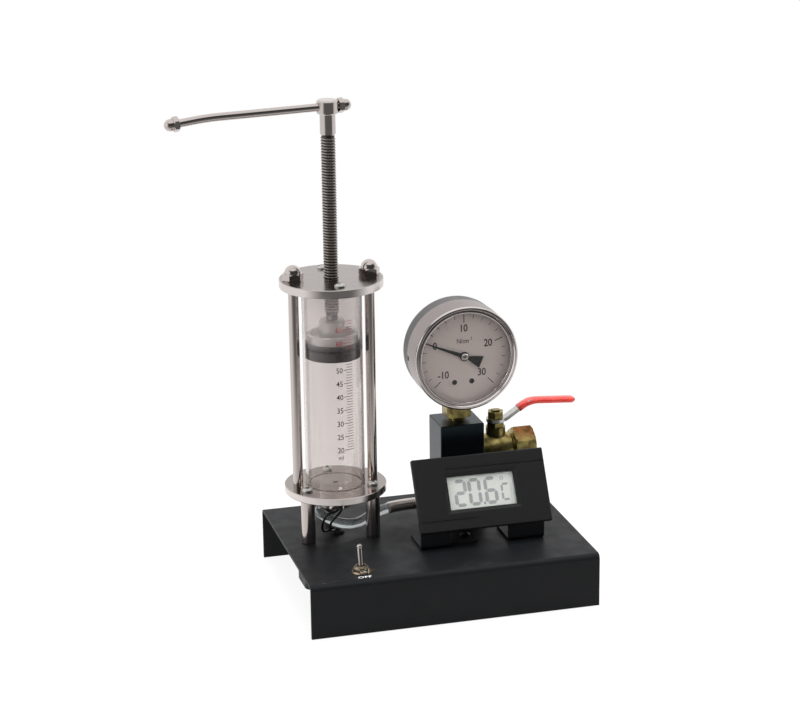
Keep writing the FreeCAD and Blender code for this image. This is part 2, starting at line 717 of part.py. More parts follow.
def temperature_probe():
    """A sealed probe: a rounded tip in the chamber and a shank that ends where the leads start."""
    low = LEAD_TOP
    high = CHAMBER_Z + PROBE_TIP
    radius = PROBE_DIAMETER / 2
    steps = [(0, low), (radius, low), (radius, high - radius),
             ((radius * math.sin(math.pi / 4), high - radius + radius * math.cos(math.pi / 4)), (0, high))]
    return turned(steps, (PROBE_X, PROBE_Y, 0))


def manifold_union():
    """The threaded end fitting of the hose on the manifold's left side."""
    ferrule = cylinder(HOSE_FERRULE / 2, UNION_REACH, HOSE_END, X_AXIS)
    spigot = cylinder(HOSE_DIAMETER / 2, UNION_GRIP, (MANIFOLD_LEFT, MANIFOLD_Y, HOSE_PORT_Z), X_AXIS)
    bore = cylinder(PORT_DIAMETER / 2, UNION_GRIP + 2, (MANIFOLD_LEFT - 1, MANIFOLD_Y, HOSE_PORT_Z), X_AXIS)
    return ferrule.fuse(spigot).cut(bore)


# Piston and screw

def piston_body():
    core = PISTON_CORE_DIAMETER / 2
    rim = PISTON_CUP_DIAMETER / 2
    cup = rim - PISTON_CUP_WALL
    hub = HUB_DIAMETER / 2
    floor = PISTON_CORE_HEIGHT - PISTON_CUP_DEPTH
    boss_top = HUB_HEIGHT - CAP_HEIGHT
    spigot = CAP_FLATS / 2
    pocket = BUTTON_DIAMETER / 2 + SWIVEL_CLEARANCE
    pocket_floor = button_bottom() - PISTON_Z - SWIVEL_CLEARANCE
    steps = [(0, 0), (core + 1, 0), (core + 1, 1.2), (core, 1.2), (core, SEAL_HEIGHT),
             (rim, SEAL_HEIGHT), (rim, PISTON_CORE_HEIGHT), (cup, PISTON_CORE_HEIGHT), (cup, floor),
             (hub, floor), (hub, boss_top), (spigot, boss_top), (spigot, boss_top - CAP_HEIGHT / 2),
             (pocket, boss_top - CAP_HEIGHT / 2), (pocket, pocket_floor), (0, pocket_floor)]
    return turned(steps, (COLUMN_X, COLUMN_Y, PISTON_Z))


def piston_seal():
    """The moulded seal round the piston, with one groove between its two bands."""
    outer = BARREL_BORE / 2 - PISTON_CLEARANCE
    inner = PISTON_CORE_DIAMETER / 2
    groove = SEAL_GROOVE / 2
    steps = [(inner + 1, 0), (outer - 0.4, 0), (outer, 0.4), (outer, SEAL_GROOVE_AT - groove),
             (outer - SEAL_GROOVE, SEAL_GROOVE_AT), (outer, SEAL_GROOVE_AT + groove),
             (outer, SEAL_HEIGHT - 0.3), (outer - 0.3, SEAL_HEIGHT), (inner, SEAL_HEIGHT), (inner, 1.2),
             (inner + 1, 1.2)]
    return turned(steps, (COLUMN_X, COLUMN_Y, PISTON_Z))


def button_bottom():
    return HUB_TOP - CAP_HEIGHT * 1.5 - BUTTON_HEIGHT - SWIVEL_CLEARANCE


def swivel_cap():
    """The cap that screws onto the hub and traps the screw's button end."""
    hole = NECK_DIAMETER / 2 + SWIVEL_CLEARANCE
    hub = HUB_DIAMETER / 2
    spigot = CAP_FLATS / 2
    steps = [(hole, -CAP_HEIGHT / 2), (spigot, -CAP_HEIGHT / 2), (spigot, 0), (hub, 0),
             (hub, CAP_HEIGHT - 0.6), (hub - 0.6, CAP_HEIGHT), (hole, CAP_HEIGHT)]
    return turned(steps, (COLUMN_X, COLUMN_Y, HUB_TOP - CAP_HEIGHT))


def lead_screw():
    """The pressing screw: button end, neck, threaded length and the spigot inside its head."""
    button = BUTTON_DIAMETER / 2
    neck = NECK_DIAMETER / 2
    thread = SCREW_DIAMETER / 2
    low = button_bottom()
    shoulder = low + BUTTON_HEIGHT
    top = COLLAR_Z + COLLAR_LENGTH - SPIGOT_SHORT
    steps = [(0, low), (button, low), (button, shoulder), (neck, shoulder), (neck, SCREW_Z - SCREW_PITCH),
             (thread, SCREW_Z), (thread, COLLAR_Z), (neck, COLLAR_Z), (neck, top), (0, top)]
    return turned(steps, (COLUMN_X, COLUMN_Y, 0))


def handle_head():
    """The turned head on top of the screw, with the cross hole that the bar slides in."""
    collar = COLLAR_DIAMETER / 2
    head = HEAD_DIAMETER / 2
    spigot = NECK_DIAMETER / 2 + FIT
    inside = COLLAR_LENGTH - SPIGOT_SHORT
    under = COLLAR_LENGTH
    top = COLLAR_LENGTH + HEAD_HEIGHT
    steps = [(spigot, 0), (collar - 0.8, 0), (collar, 0.9), (collar, under - 0.6),
             ((collar + 0.15, under - 0.15), (collar + 0.6, under)), (head - 0.5, under), (head, under + 0.5),
             (head, top - 0.8), (head - 0.8, top), (0, top), (0, inside), (spigot, inside)]
    head_solid = turned(steps, (COLUMN_X, COLUMN_Y, COLLAR_Z))
    left = (COLUMN_X - HEAD_DIAMETER, COLUMN_Y, BAR_Z)
    hole = cylinder(BAR_DIAMETER / 2 + BAR_CLEARANCE, 2 * HEAD_DIAMETER, left, X_AXIS)
    return turn_with_bar(head_solid.cut(hole))


def turn_with_bar(shape):
    """The handle's parts are built along X and stand turned about the column's axis."""
    turned_shape = shape.copy()
    turned_shape.rotate(Vector(COLUMN_X, COLUMN_Y, 0), Z_AXIS, BAR_TURN)
    return turned_shape


def bar_points():
    bend = math.radians(BAR_BEND_ANGLE)
    right = COLUMN_X + HEAD_DIAMETER / 2 + BAR_CLEARANCE
    corner = COLUMN_X - BAR_LEFT_STRAIGHT
    left = (corner - BAR_LEFT_BENT * math.cos(bend), COLUMN_Y, BAR_Z - BAR_LEFT_BENT * math.sin(bend))
    return [(right, COLUMN_Y, BAR_Z), (corner, COLUMN_Y, BAR_Z), left]


def bar_stud(start, direction):
    return cylinder(BAR_NUT_DOME * 0.3, BAR_NUT_LENGTH * 0.65, start, direction)


def tommy_bar():
    points = bar_points()
    rod = cord_tube(points, BAR_DIAMETER)[0]
    left = (Vector(*points[2]) - Vector(*points[1])).normalize()
    rod = rod.fuse(bar_stud(points[0], X_AXIS)).fuse(bar_stud(points[2], left))
    return turn_with_bar(rod)


def bar_nut(start, direction):
    bore = BAR_NUT_DOME * 0.6 + 2 * FIT
    nut = acorn_nut(BAR_NUT_FLATS, BAR_NUT_HEX, BAR_NUT_DOME, BAR_NUT_LENGTH, bore, start, direction)
    return turn_with_bar(nut)


def bar_nut_left():
    points = bar_points()
    return bar_nut(points[2], (Vector(*points[2]) - Vector(*points[1])).normalize())


def bar_nut_right():
    return bar_nut(bar_points()[0], X_AXIS)


# Manifold

def manifold_block():
    low = (MANIFOLD_LEFT, MANIFOLD_Y - MANIFOLD_DEPTH / 2, BASE_HEIGHT)
    block = box((MANIFOLD_WIDTH, MANIFOLD_DEPTH, MANIFOLD_HEIGHT), low)
    block = block.makeChamfer(MANIFOLD_EDGE, block.Edges)
    gallery = GALLERY_DIAMETER / 2
    centre = (MANIFOLD_X, MANIFOLD_Y)
    thread_foot = (*centre, MANIFOLD_TOP - SOCKET_THREAD_LENGTH)
    cuts = [
        cylinder(gallery, MANIFOLD_TOP - HOSE_PORT_Z, (*centre, HOSE_PORT_Z)),
        cylinder(SOCKET_SHANK / 2 + FIT, SOCKET_THREAD_LENGTH, thread_foot),
        cylinder(gallery, MANIFOLD_WIDTH / 2, (*centre, HOSE_PORT_Z), -X_AXIS),
        cylinder(HOSE_DIAMETER / 2 + FIT, UNION_GRIP, (MANIFOLD_LEFT, MANIFOLD_Y, HOSE_PORT_Z), X_AXIS),
        cylinder(gallery, MANIFOLD_WIDTH / 2, (*centre, VALVE_Z), X_AXIS),
        cylinder(VALVE_SHANK / 2 + FIT, VALVE_SHANK_LENGTH, (MANIFOLD_RIGHT, MANIFOLD_Y, VALVE_Z), -X_AXIS),
    ]
    for x, y in manifold_screw_places():
        cuts.append(cylinder(MANIFOLD_SCREW / 2 + FIT, MANIFOLD_SCREW_DEPTH + 1, (x, y, BASE_HEIGHT)))
    for cut in cuts:
        block = block.cut(cut)
    return block


# Gauge: outlines give a radius and the depth behind the front of the gauge

def gauge_turned(steps):
    return turned(steps, (MANIFOLD_X, GAUGE_FRONT_Y, GAUGE_Z), Y_AXIS)


def gauge_point(radius, angle, depth):
    """A point on the gauge: the angle is counted anticlockwise from the right, seen from the front."""
    turn = math.radians(angle)
    return MANIFOLD_X + radius * math.cos(turn), GAUGE_FRONT_Y + depth, GAUGE_Z + radius * math.sin(turn)


def gauge_ring():
    outer = GAUGE_DIAMETER / 2
    inner = outer - GAUGE_WALL
    lip = outer - GAUGE_LIP
    steps = [(lip, 0.9), (lip + 0.7, 0), ((outer - 0.45, 0.35), (outer, 1.5)), (outer, GAUGE_RING_DEPTH),
             (inner, GAUGE_RING_DEPTH), (inner, GAUGE_LIP_THICK), (lip, GAUGE_LIP_THICK)]
    size = (2 * GAUGE_LIP, RING_NOTCH_LENGTH, RING_NOTCH_WIDTH)
    corner = (MANIFOLD_X - outer - GAUGE_LIP, GAUGE_FRONT_Y + GAUGE_RING_DEPTH - RING_NOTCH_LENGTH,
              GAUGE_Z - RING_NOTCH_DROP - RING_NOTCH_WIDTH / 2)
    return gauge_turned(steps).cut(box(size, corner))


def gauge_case():
    outer = GAUGE_CASE_DIAMETER / 2
    front = GAUGE_DIAMETER / 2 - GAUGE_WALL - FIT
    inner = front - GAUGE_WALL
    start = DIAL_DEPTH + DIAL_THICK
    back = GAUGE_RING_DEPTH + GAUGE_CASE_DEPTH
    edge = GAUGE_CASE_EDGE
    diagonal = edge * (1 - math.sqrt(0.5))
    steps = [(inner, start), (front, start), (front, GAUGE_RING_DEPTH), (outer, GAUGE_RING_DEPTH),
             (outer, back - edge), ((outer - diagonal, back - diagonal), (outer - edge, back)), (0, back),
             (0, back - GAUGE_WALL), (inner, back - GAUGE_WALL)]
    under = (MANIFOLD_X, MANIFOLD_Y, GAUGE_Z - GAUGE_DIAMETER / 2 - 1)
    return gauge_turned(steps).cut(cylinder(SOCKET_SHANK / 2 + FIT, GAUGE_DIAMETER / 2, under))


def gauge_glass():
    outer = GAUGE_DIAMETER / 2 - GAUGE_WALL - FIT
    start = GAUGE_LIP_THICK
    return gauge_turned([(0, start), (outer, start), (outer, start + GLASS_THICK), (0, start + GLASS_THICK)])


def gauge_dial():
    outer = GAUGE_DIAMETER / 2 - GAUGE_WALL - FIT
    hole = ARBOR_DIAMETER / 2 + 0.4
    dial = gauge_turned([(hole, DIAL_DEPTH), (outer, DIAL_DEPTH), (outer, DIAL_DEPTH + DIAL_THICK),
                         (hole, DIAL_DEPTH + DIAL_THICK)])
    for x, z in DIAL_SCREW_PLACES:
        start = (MANIFOLD_X + x, GAUGE_FRONT_Y + DIAL_DEPTH - 1, GAUGE_Z + z)
        dial = dial.cut(cylinder(DIAL_SCREW_HEAD / 4 + FIT, 3, start, Y_AXIS))
    return dial


def dial_screws():
    screws = []
    for x, z in DIAL_SCREW_PLACES:
        start = (MANIFOLD_X + x, GAUGE_FRONT_Y + DIAL_DEPTH, GAUGE_Z + z)
        screws.append(pan_screw(DIAL_SCREW_HEAD, DIAL_SCREW_HEAD_HEIGHT, DIAL_SCREW_HEAD / 2,
                                DIAL_SCREW_LENGTH, start, -Y_AXIS))
    return Part.makeCompound(screws)


def gauge_socket():
    """The brass stem with its wrench flats, and the block inside that holds the tube and movement."""
    centre = (MANIFOLD_X, MANIFOLD_Y)
    foot_z = MANIFOLD_TOP - SOCKET_THREAD_LENGTH
    block_z = GAUGE_Z - GAUGE_CASE_DIAMETER / 2 + BLOCK_LIFT
    half = SOCKET_FLATS_WIDTH / 2
    flats_z = MANIFOLD_TOP + SOCKET_NECK_HEIGHT
    flats = box((2 * half, 2 * half, SOCKET_FLATS_HEIGHT), (MANIFOLD_X - half, MANIFOLD_Y - half, flats_z))
    flats = flats.common(cylinder(half * 1.25, SOCKET_FLATS_HEIGHT, (*centre, flats_z)))
    block_y = GAUGE_FRONT_Y + MOVEMENT_BACK + MOVEMENT_PLATE
    block = box((BLOCK_SIZE, BLOCK_SIZE - 1, BLOCK_HEIGHT), (MANIFOLD_X - BLOCK_SIZE / 2, block_y, block_z))
    socket = cylinder(SOCKET_SHANK / 2, block_z - foot_z, (*centre, foot_z)).fuse(flats).fuse(block)
    bore = cylinder(PORT_DIAMETER / 2, GAUGE_Z - TUBE_RADIUS - foot_z, (*centre, foot_z))
    return socket.cut(bore).cut(tube_sweep(TUBE_WIDTH + FIT, TUBE_THICK + FIT, 90))


def tube_sweep(width, thickness, angle):
    """A flat section turned about the gauge's axis from the tube's foot."""
    corners = []
    for along, out in ((-0.5, -0.5), (0.5, -0.5), (0.5, 0.5), (-0.5, 0.5), (-0.5, -0.5)):
        height = GAUGE_Z - TUBE_RADIUS + out * thickness
        corners.append(Vector(MANIFOLD_X, MANIFOLD_Y + along * width, height))
    section = Part.Face(Part.makePolygon(corners))
    return section.revolve(Vector(MANIFOLD_X, GAUGE_FRONT_Y, GAUGE_Z), Y_AXIS, angle)


def pressure_tube():
    """The flattened C-shaped tube, open at its foot in the socket's block and closed at its tip."""
    inside = tube_sweep(TUBE_WIDTH - 2 * TUBE_WALL, TUBE_THICK - 2 * TUBE_WALL, 252)
    return tube_sweep(TUBE_WIDTH, TUBE_THICK, 255).cut(inside)


def gauge_movement():
    """The movement's two plates and pillars, on the socket's block, with the holes for the arbor."""
    low = GAUGE_Z - GAUGE_CASE_DIAMETER / 2 + BLOCK_LIFT
    high = GAUGE_Z + MOVEMENT_WIDTH / 2
    size = (MOVEMENT_WIDTH, MOVEMENT_PLATE, high - low)
    left = MANIFOLD_X - MOVEMENT_WIDTH / 2
    front = box(size, (left, GAUGE_FRONT_Y + MOVEMENT_FRONT, low))
    back = box(size, (left, GAUGE_FRONT_Y + MOVEMENT_BACK, low))
    movement = front.fuse(back)
    for x in (-PILLAR_OUT, PILLAR_OUT):
        for z in (low + PILLAR_INSET, high - PILLAR_INSET):
            start = (MANIFOLD_X + x, GAUGE_FRONT_Y + MOVEMENT_FRONT + MOVEMENT_PLATE / 2, z)
            pillar = cylinder(PILLAR_DIAMETER / 2, MOVEMENT_BACK - MOVEMENT_FRONT, start, Y_AXIS)
            movement = movement.fuse(pillar)
    hole = ARBOR_DIAMETER / 2 + FIT
    movement = movement.cut(cylinder(hole, 2 * MOVEMENT_BACK, (MANIFOLD_X, GAUGE_FRONT_Y, GAUGE_Z), Y_AXIS))
    for x, z in DIAL_SCREW_PLACES:
        start = (MANIFOLD_X + x, GAUGE_FRONT_Y + DIAL_DEPTH, GAUGE_Z + z)
        movement = movement.cut(cylinder(DIAL_SCREW_HEAD / 4 + FIT, DIAL_SCREW_LENGTH + 0.4, start, Y_AXIS))
    return movement


def pointer():
    """The pointer at rest on zero: a tapered blade, a fan-shaped tail, a hub and the arbor."""
    blade = [(POINTER_LENGTH, 0.2), (2.0, 1.1), (-3.0, 1.1), (-5.0, 1.8), (-POINTER_TAIL, 3.4)]
    corners = []
    for along, across in blade + [(a, -b) for a, b in reversed(blade)] + [blade[0]]:
        x, y, z = gauge_point(along, 0, POINTER_DEPTH)
        corners.append(Vector(x, y, z + across))
    plate = Part.Face(Part.makePolygon(corners)).extrude(Vector(0, POINTER_THICK, 0))
    plate.rotate(Vector(MANIFOLD_X, GAUGE_FRONT_Y, GAUGE_Z), Y_AXIS, -POINTER_ZERO)
    hub = POINTER_HUB / 2
    arbor = ARBOR_DIAMETER / 2
    end = MOVEMENT_BACK + MOVEMENT_PLATE - 0.2
    centre = gauge_turned([(0, POINTER_DEPTH - 0.5), (hub - 0.6, POINTER_DEPTH - 0.5), (hub, POINTER_DEPTH),
                           (hub, POINTER_DEPTH + 0.9), (arbor, POINTER_DEPTH + 0.9), (arbor, end), (0, end)])
    return plate.fuse(centre)


# Ball valve: outlines give a radius and the distance from the manifold's side

def valve_turned(steps):
    return turned(steps, (MANIFOLD_RIGHT, MANIFOLD_Y, VALVE_Z), X_AXIS)


def valve_ball_space(clearance):
    return Part.makeSphere(VALVE_BALL / 2 + clearance, Vector(VALVE_X, MANIFOLD_Y, VALVE_Z))


def valve_body():
    bore = VALVE_BORE / 2
    shank = VALVE_SHANK / 2
    collar = VALVE_COLLAR / 2
    chamber = VALVE_CHAMBER / 2
    waist = VALVE_WAIST / 2
    cavity = VALVE_CAVITY / 2
    start = VALVE_CENTRE - VALVE_SEAT
    collar_end = 2 * VALVE_CENTRE - VALVE_COLLAR_LENGTH
    steps = [(bore, -VALVE_SHANK_LENGTH), (shank, -VALVE_SHANK_LENGTH), (shank, 0), (collar, 0),
             (collar, VALVE_COLLAR_LENGTH), ((chamber, VALVE_CENTRE), (collar, collar_end)),
             (waist, collar_end + 1), (waist, VALVE_CAP_START), (cavity, VALVE_CAP_START), (cavity, start),
             (bore, start)]
    body = valve_turned(steps)
    centre = (VALVE_X, MANIFOLD_Y)
    boss = cylinder(VALVE_BOSS / 2, VALVE_BOSS_TOP, (*centre, VALVE_Z))
    boss = boss.cut(cylinder(cavity, 4 * VALVE_BOSS, (VALVE_X - 2 * VALVE_BOSS, MANIFOLD_Y, VALVE_Z), X_AXIS))
    body = body.fuse(boss)
    body = body.cut(cylinder(STEM_DIAMETER / 2 + FIT, VALVE_BOSS_TOP, (*centre, VALVE_Z)))
    recess = PACKING_HEIGHT + PACKING_DROP
    return body.cut(cylinder(PACKING_DIAMETER / 2, recess, (*centre, VALVE_Z + VALVE_BOSS_TOP - recess)))


def valve_cap():
    """The hexagonal end cap that closes the body, with the threaded outlet in its end."""
    end = VALVE_CAP_START + VALVE_CAP_LENGTH
    start = VALVE_CENTRE + VALVE_SEAT
    corner = VALVE_CAP_FLATS / math.sqrt(3)
    start_x = MANIFOLD_RIGHT + VALVE_CAP_START
    cap = hexagon(VALVE_CAP_FLATS, VALVE_CAP_LENGTH, (start_x, MANIFOLD_Y, VALVE_Z), X_AXIS)
    cone = valve_turned([(0, VALVE_CAP_START), (corner - 1, VALVE_CAP_START), (corner, VALVE_CAP_START + 0.8),
                         (corner, end - 0.8), (corner - 1, end), (0, end)])
    spigot = VALVE_CAVITY / 2 - FIT
    cap = cap.common(cone).fuse(valve_turned([(0, start), (spigot, start), (spigot, VALVE_CAP_START),
                                              (0, VALVE_CAP_START)]))
    bore = VALVE_BORE / 2
    cap = cap.cut(valve_turned([(0, start - 1), (bore, start - 1), (bore, end + 1), (0, end + 1)]))
    mouth = (MANIFOLD_RIGHT + end, MANIFOLD_Y, VALVE_Z)
    return cap.cut(cylinder(VALVE_OUTLET / 2, VALVE_OUTLET_DEPTH, mouth, -X_AXIS))


def valve_seats():
    """The two seat rings, hollowed to the ball."""
    rings = []
    for start in (VALVE_CENTRE - VALVE_SEAT, VALVE_CENTRE + VALVE_SEAT - VALVE_SEAT_LENGTH):
        inner = VALVE_BORE / 2 + 0.2
        outer = VALVE_CAVITY / 2 - FIT
        end = start + VALVE_SEAT_LENGTH
        seat = valve_turned([(inner, start), (outer, start), (outer, end), (inner, end)])
        rings.append(seat.cut(valve_ball_space(FIT)))
    return Part.makeCompound(rings)


def valve_ball():
    reach = VALVE_BALL / 2 + 1
    bore = cylinder(VALVE_BORE / 2, 2 * reach, (VALVE_X - reach, MANIFOLD_Y, VALVE_Z), X_AXIS)
    width = TANG_WIDTH + 2 * FIT
    corner = (VALVE_X - width / 2, MANIFOLD_Y - reach, VALVE_Z + VALVE_BALL / 2 - TANG_DEPTH)
    return valve_ball_space(0).cut(bore).cut(box((width, 2 * reach, reach), corner))


def valve_stem():
    """The stem: a tang in the ball's slot, a round shank and two flats that turn with the lever."""
    low = VALVE_Z + VALVE_BALL / 2 + 2 * FIT
    lever_z = VALVE_Z + VALVE_BOSS_TOP + GLAND_NUT_HEIGHT
    high = lever_z + LEVER_THICK + LEVER_NUT_HEIGHT + 0.8
    stem = cylinder(STEM_DIAMETER / 2, high - low, (VALVE_X, MANIFOLD_Y, low))
    tang = (TANG_WIDTH, STEM_DIAMETER * 0.8, TANG_DEPTH + 0.2)
    stem = stem.fuse(box(tang, (VALVE_X - TANG_WIDTH / 2, MANIFOLD_Y - tang[1] / 2, low - TANG_DEPTH)))
    flat = (2 * STEM_DIAMETER, STEM_DIAMETER, high - lever_z + 1)
    for side in (STEM_FLATS / 2, -STEM_FLATS / 2 - STEM_DIAMETER):
        stem = stem.cut(box(flat, (VALVE_X - STEM_DIAMETER, MANIFOLD_Y + side, lever_z)))
    return stem


def stem_packing():
    start = (VALVE_X, MANIFOLD_Y, VALVE_Z + VALVE_BOSS_TOP - PACKING_HEIGHT - PACKING_DROP)
    return ring(PACKING_DIAMETER / 2 - FIT, STEM_DIAMETER / 2 + FIT, PACKING_HEIGHT, start)


def gland_nut():
    start = VALVE_Z + VALVE_BOSS_TOP
    nut = hexagon(GLAND_NUT_FLATS, GLAND_NUT_HEIGHT - 0.3, (VALVE_X, MANIFOLD_Y, start), Z_AXIS, 12)
    foot = (VALVE_X, MANIFOLD_Y, start - PACKING_DROP)
    nut = nut.fuse(cylinder(PACKING_DIAMETER / 2 - FIT, PACKING_DROP, foot))
    low = (VALVE_X, MANIFOLD_Y, start - GLAND_NUT_HEIGHT)
    return nut.cut(cylinder(STEM_DIAMETER / 2 + FIT, 3 * GLAND_NUT_HEIGHT, low))


def lever_points():
    """The lever's middle line in X and Z: flat over the stem, rising, and along the grip."""
    flat_z = VALVE_Z + VALVE_BOSS_TOP + GLAND_NUT_HEIGHT + LEVER_THICK / 2
    droop = math.radians(LEVER_DROOP)
    start = (VALVE_X - LEVER_WIDTH / 2, flat_z)
    bend = (VALVE_X + LEVER_FLAT, flat_z)
    grip = (bend[0] + LEVER_RUN, flat_z + LEVER_RISE)
    end = (grip[0] + LEVER_GRIP * math.cos(droop), grip[1] - LEVER_GRIP * math.sin(droop))
    return [start, bend, grip, end]


def lever_strip(points, thickness, width, end_radius, side_round=0):
    """A bent strip along X with a rounded end and side edges, whose width is centred on the valve."""
    steps = strip_outline(points, thickness, LEVER_BEND)
    side = MANIFOLD_Y - width / 2
    strip = Part.Face(outline_wire(steps, lambda x, z: Vector(x, side, z))).extrude(Vector(0, width, 0))
    if side_round:
        strip = strip.makeFillet(side_round, side_edges(strip, side, points[0], points[-1]))
    tip = points[-1][0]
    height = 3 * (points[-1][1] - VALVE_Z)
    for sign in (1, -1):
        centre_y = MANIFOLD_Y + sign * (width / 2 - end_radius)
        corner_y = min(centre_y, centre_y + sign * end_radius)
        corner = box((end_radius, end_radius, height), (tip - end_radius, corner_y, VALVE_Z))
        strip = strip.cut(corner.cut(cylinder(end_radius, height, (tip - end_radius, centre_y, VALVE_Z))))
    return strip


def side_edges(strip, side, *ends):
    """The edges that run along the strip's two sides, without the upright ones at its ends."""
    reach = MANIFOLD_Y - side
    edges = []
    for edge in strip.Edges:
        middle = edge.CenterOfMass
        at_side = abs(abs(middle.y - MANIFOLD_Y) - reach) < 0.01
        if at_side and all(math.dist((middle.x, middle.z), end) > 0.1 for end in ends):
            edges.append(edge)
    return edges


def lever_plate():
    points = lever_points()
    plate = lever_strip(points, LEVER_THICK, LEVER_GRIP_WIDTH, LEVER_GRIP_WIDTH / 2 - 0.2)
    flat_z = points[0][1] - LEVER_THICK / 2
    hub = cylinder(LEVER_WIDTH / 2, LEVER_THICK, (VALVE_X, MANIFOLD_Y, flat_z))
    slit = cylinder(STEM_DIAMETER / 2 + FIT, LEVER_THICK, (VALVE_X, MANIFOLD_Y, flat_z))
    flats = STEM_FLATS + 2 * FIT
    corner = (VALVE_X - STEM_DIAMETER, MANIFOLD_Y - flats / 2, flat_z)
    slit = slit.common(box((2 * STEM_DIAMETER, flats, LEVER_THICK), corner))
    corner = (VALVE_X - LEVER_WIDTH, MANIFOLD_Y - LEVER_WIDTH / 2, flat_z)
    return plate.cut(box((LEVER_WIDTH, LEVER_WIDTH, LEVER_THICK), corner)).fuse(hub).cut(slit)


def lever_sleeve():
    """The moulded sleeve over the grip, open at the end towards the stem."""
    start, bend, grip, end = lever_points()
    share = SLEEVE_START / math.dist(bend, grip)
    opening = tuple(a + (b - a) * share for a, b in zip(bend, grip))
    length = math.dist(grip, end)
    tip = tuple(b + (b - a) * SLEEVE_WALL / length for a, b in zip(grip, end))
    width = LEVER_GRIP_WIDTH + 2 * SLEEVE_WALL
    thickness = LEVER_THICK + 2 * SLEEVE_WALL
    sleeve = lever_strip([opening, grip, tip], thickness, width, width / 2 - 0.2, SLEEVE_ROUND)
    return sleeve.cut(lever_plate())


def lever_nut():
    start = (VALVE_X, MANIFOLD_Y, VALVE_Z + VALVE_BOSS_TOP + GLAND_NUT_HEIGHT + LEVER_THICK)
    return hexagon(LEVER_NUT_FLATS, LEVER_NUT_HEIGHT, start, Z_AXIS, 10).cut(
        cylinder(STEM_DIAMETER / 2 + FIT, LEVER_NUT_HEIGHT, start))


# Thermometer: built upright with X along its face, Y into it and Z up it, then tilted back

def tilted(shape):
    placed = shape.copy()
    corner = Vector(THERMO_X, THERMO_Y, BASE_HEIGHT + THERMO_LIFT)
    lean = FreeCAD.Placement(corner, FreeCAD.Rotation(X_AXIS, -THERMO_TILT))
    placed.Placement = lean.multiply(placed.Placement)
    return placed


def bracket_leg_y():
    """The Y of the bracket's legs, at their front face."""
    tilt = math.radians(THERMO_TILT)
    return THERMO_Y + (BEZEL_THICK + BRACKET_SHEET / 2) * math.cos(tilt) - BRACKET_SHEET / 2


def thermo_case():
    """The case: the front frame with its window opening and two ridges, and the box behind it."""
    frame = box((THERMO_WIDTH, BEZEL_THICK, THERMO_HEIGHT), (0, 0, 0))
    front = [edge for edge in frame.Edges if edge.CenterOfMass.y < BEZEL_THICK * 0.6]
    frame = frame.makeFillet(BEZEL_EDGE, front)
    body_size = (THERMO_WIDTH - 2 * BODY_INSET, BODY_DEPTH, THERMO_HEIGHT - 2 * BODY_INSET)
    body = box(body_size, (BODY_INSET, BEZEL_THICK, BODY_INSET))
    inner = (body_size[0] - 2 * BODY_WALL, BODY_DEPTH + BODY_WALL, body_size[2] - 2 * BODY_WALL)
    case = frame.fuse(body)
    case = case.cut(box(inner, (BODY_INSET + BODY_WALL, BEZEL_THICK - BODY_WALL / 2, BODY_INSET + BODY_WALL)))
    outer = [(WINDOW_X - WINDOW_FRAME, WINDOW_Z - WINDOW_FRAME),
             (WINDOW_X + WINDOW_WIDTH + WINDOW_FRAME, WINDOW_Z + WINDOW_HEIGHT + WINDOW_FRAME)]
    opening = [(WINDOW_X, WINDOW_Z), (WINDOW_X + WINDOW_WIDTH, WINDOW_Z + WINDOW_HEIGHT)]
    wires = []
    for (x0, z0), (x1, z1), y in ((*outer, -0.1), (*opening, 1.1)):
        places = ((x0, z0), (x1, z0), (x1, z1), (x0, z1), (x0, z0))
        wires.append(Part.makePolygon([Vector(x, y, z) for x, z in places]))
    case = case.cut(Part.makeLoft(wires, True, True))
    case = case.cut(box((WINDOW_WIDTH, BEZEL_THICK, WINDOW_HEIGHT), (WINDOW_X, 0, WINDOW_Z)))
    top_length = THERMO_WIDTH - BEZEL_EDGE - WINDOW_X
    for x, z, length in ((WINDOW_X, RIDGE_TOP, top_length), (BEZEL_EDGE, RIDGE_BOTTOM, RIDGE_BOTTOM_LENGTH)):
        case = case.fuse(box((length, RIDGE_DEPTH + 0.5, RIDGE_WIDTH), (x, -RIDGE_DEPTH, z)))
    return tilted(case)


def thermo_back():
    """The lid that closes the case from behind, held inside the box's walls."""
    clear = BODY_INSET + BODY_WALL + FIT
    size = (THERMO_WIDTH - 2 * clear, BODY_WALL, THERMO_HEIGHT - 2 * clear)
    return tilted(box(size, (clear, BEZEL_THICK + BODY_DEPTH - BODY_WALL, clear)))


def thermo_window():
    start = BEZEL_THICK - BODY_WALL / 2
    size = (WINDOW_WIDTH + 4, WINDOW_THICK, WINDOW_HEIGHT + 4)
    return tilted(box(size, (WINDOW_X - 2, start, WINDOW_Z - 2)))


def display_board():
    """The liquid crystal display and the circuit board that carries it."""
    start = BEZEL_THICK - BODY_WALL / 2 + WINDOW_THICK + 0.2
    display = box((WINDOW_WIDTH + 3, LCD_THICK, WINDOW_HEIGHT + 3), (WINDOW_X - 1.5, start, WINDOW_Z - 1.5))
    clear = BODY_INSET + BODY_WALL + 0.4
    board_size = (THERMO_WIDTH - 2 * clear, BOARD_THICK, THERMO_HEIGHT - 2 * clear)
    return tilted(display.fuse(box(board_size, (clear, start + LCD_THICK, clear))))


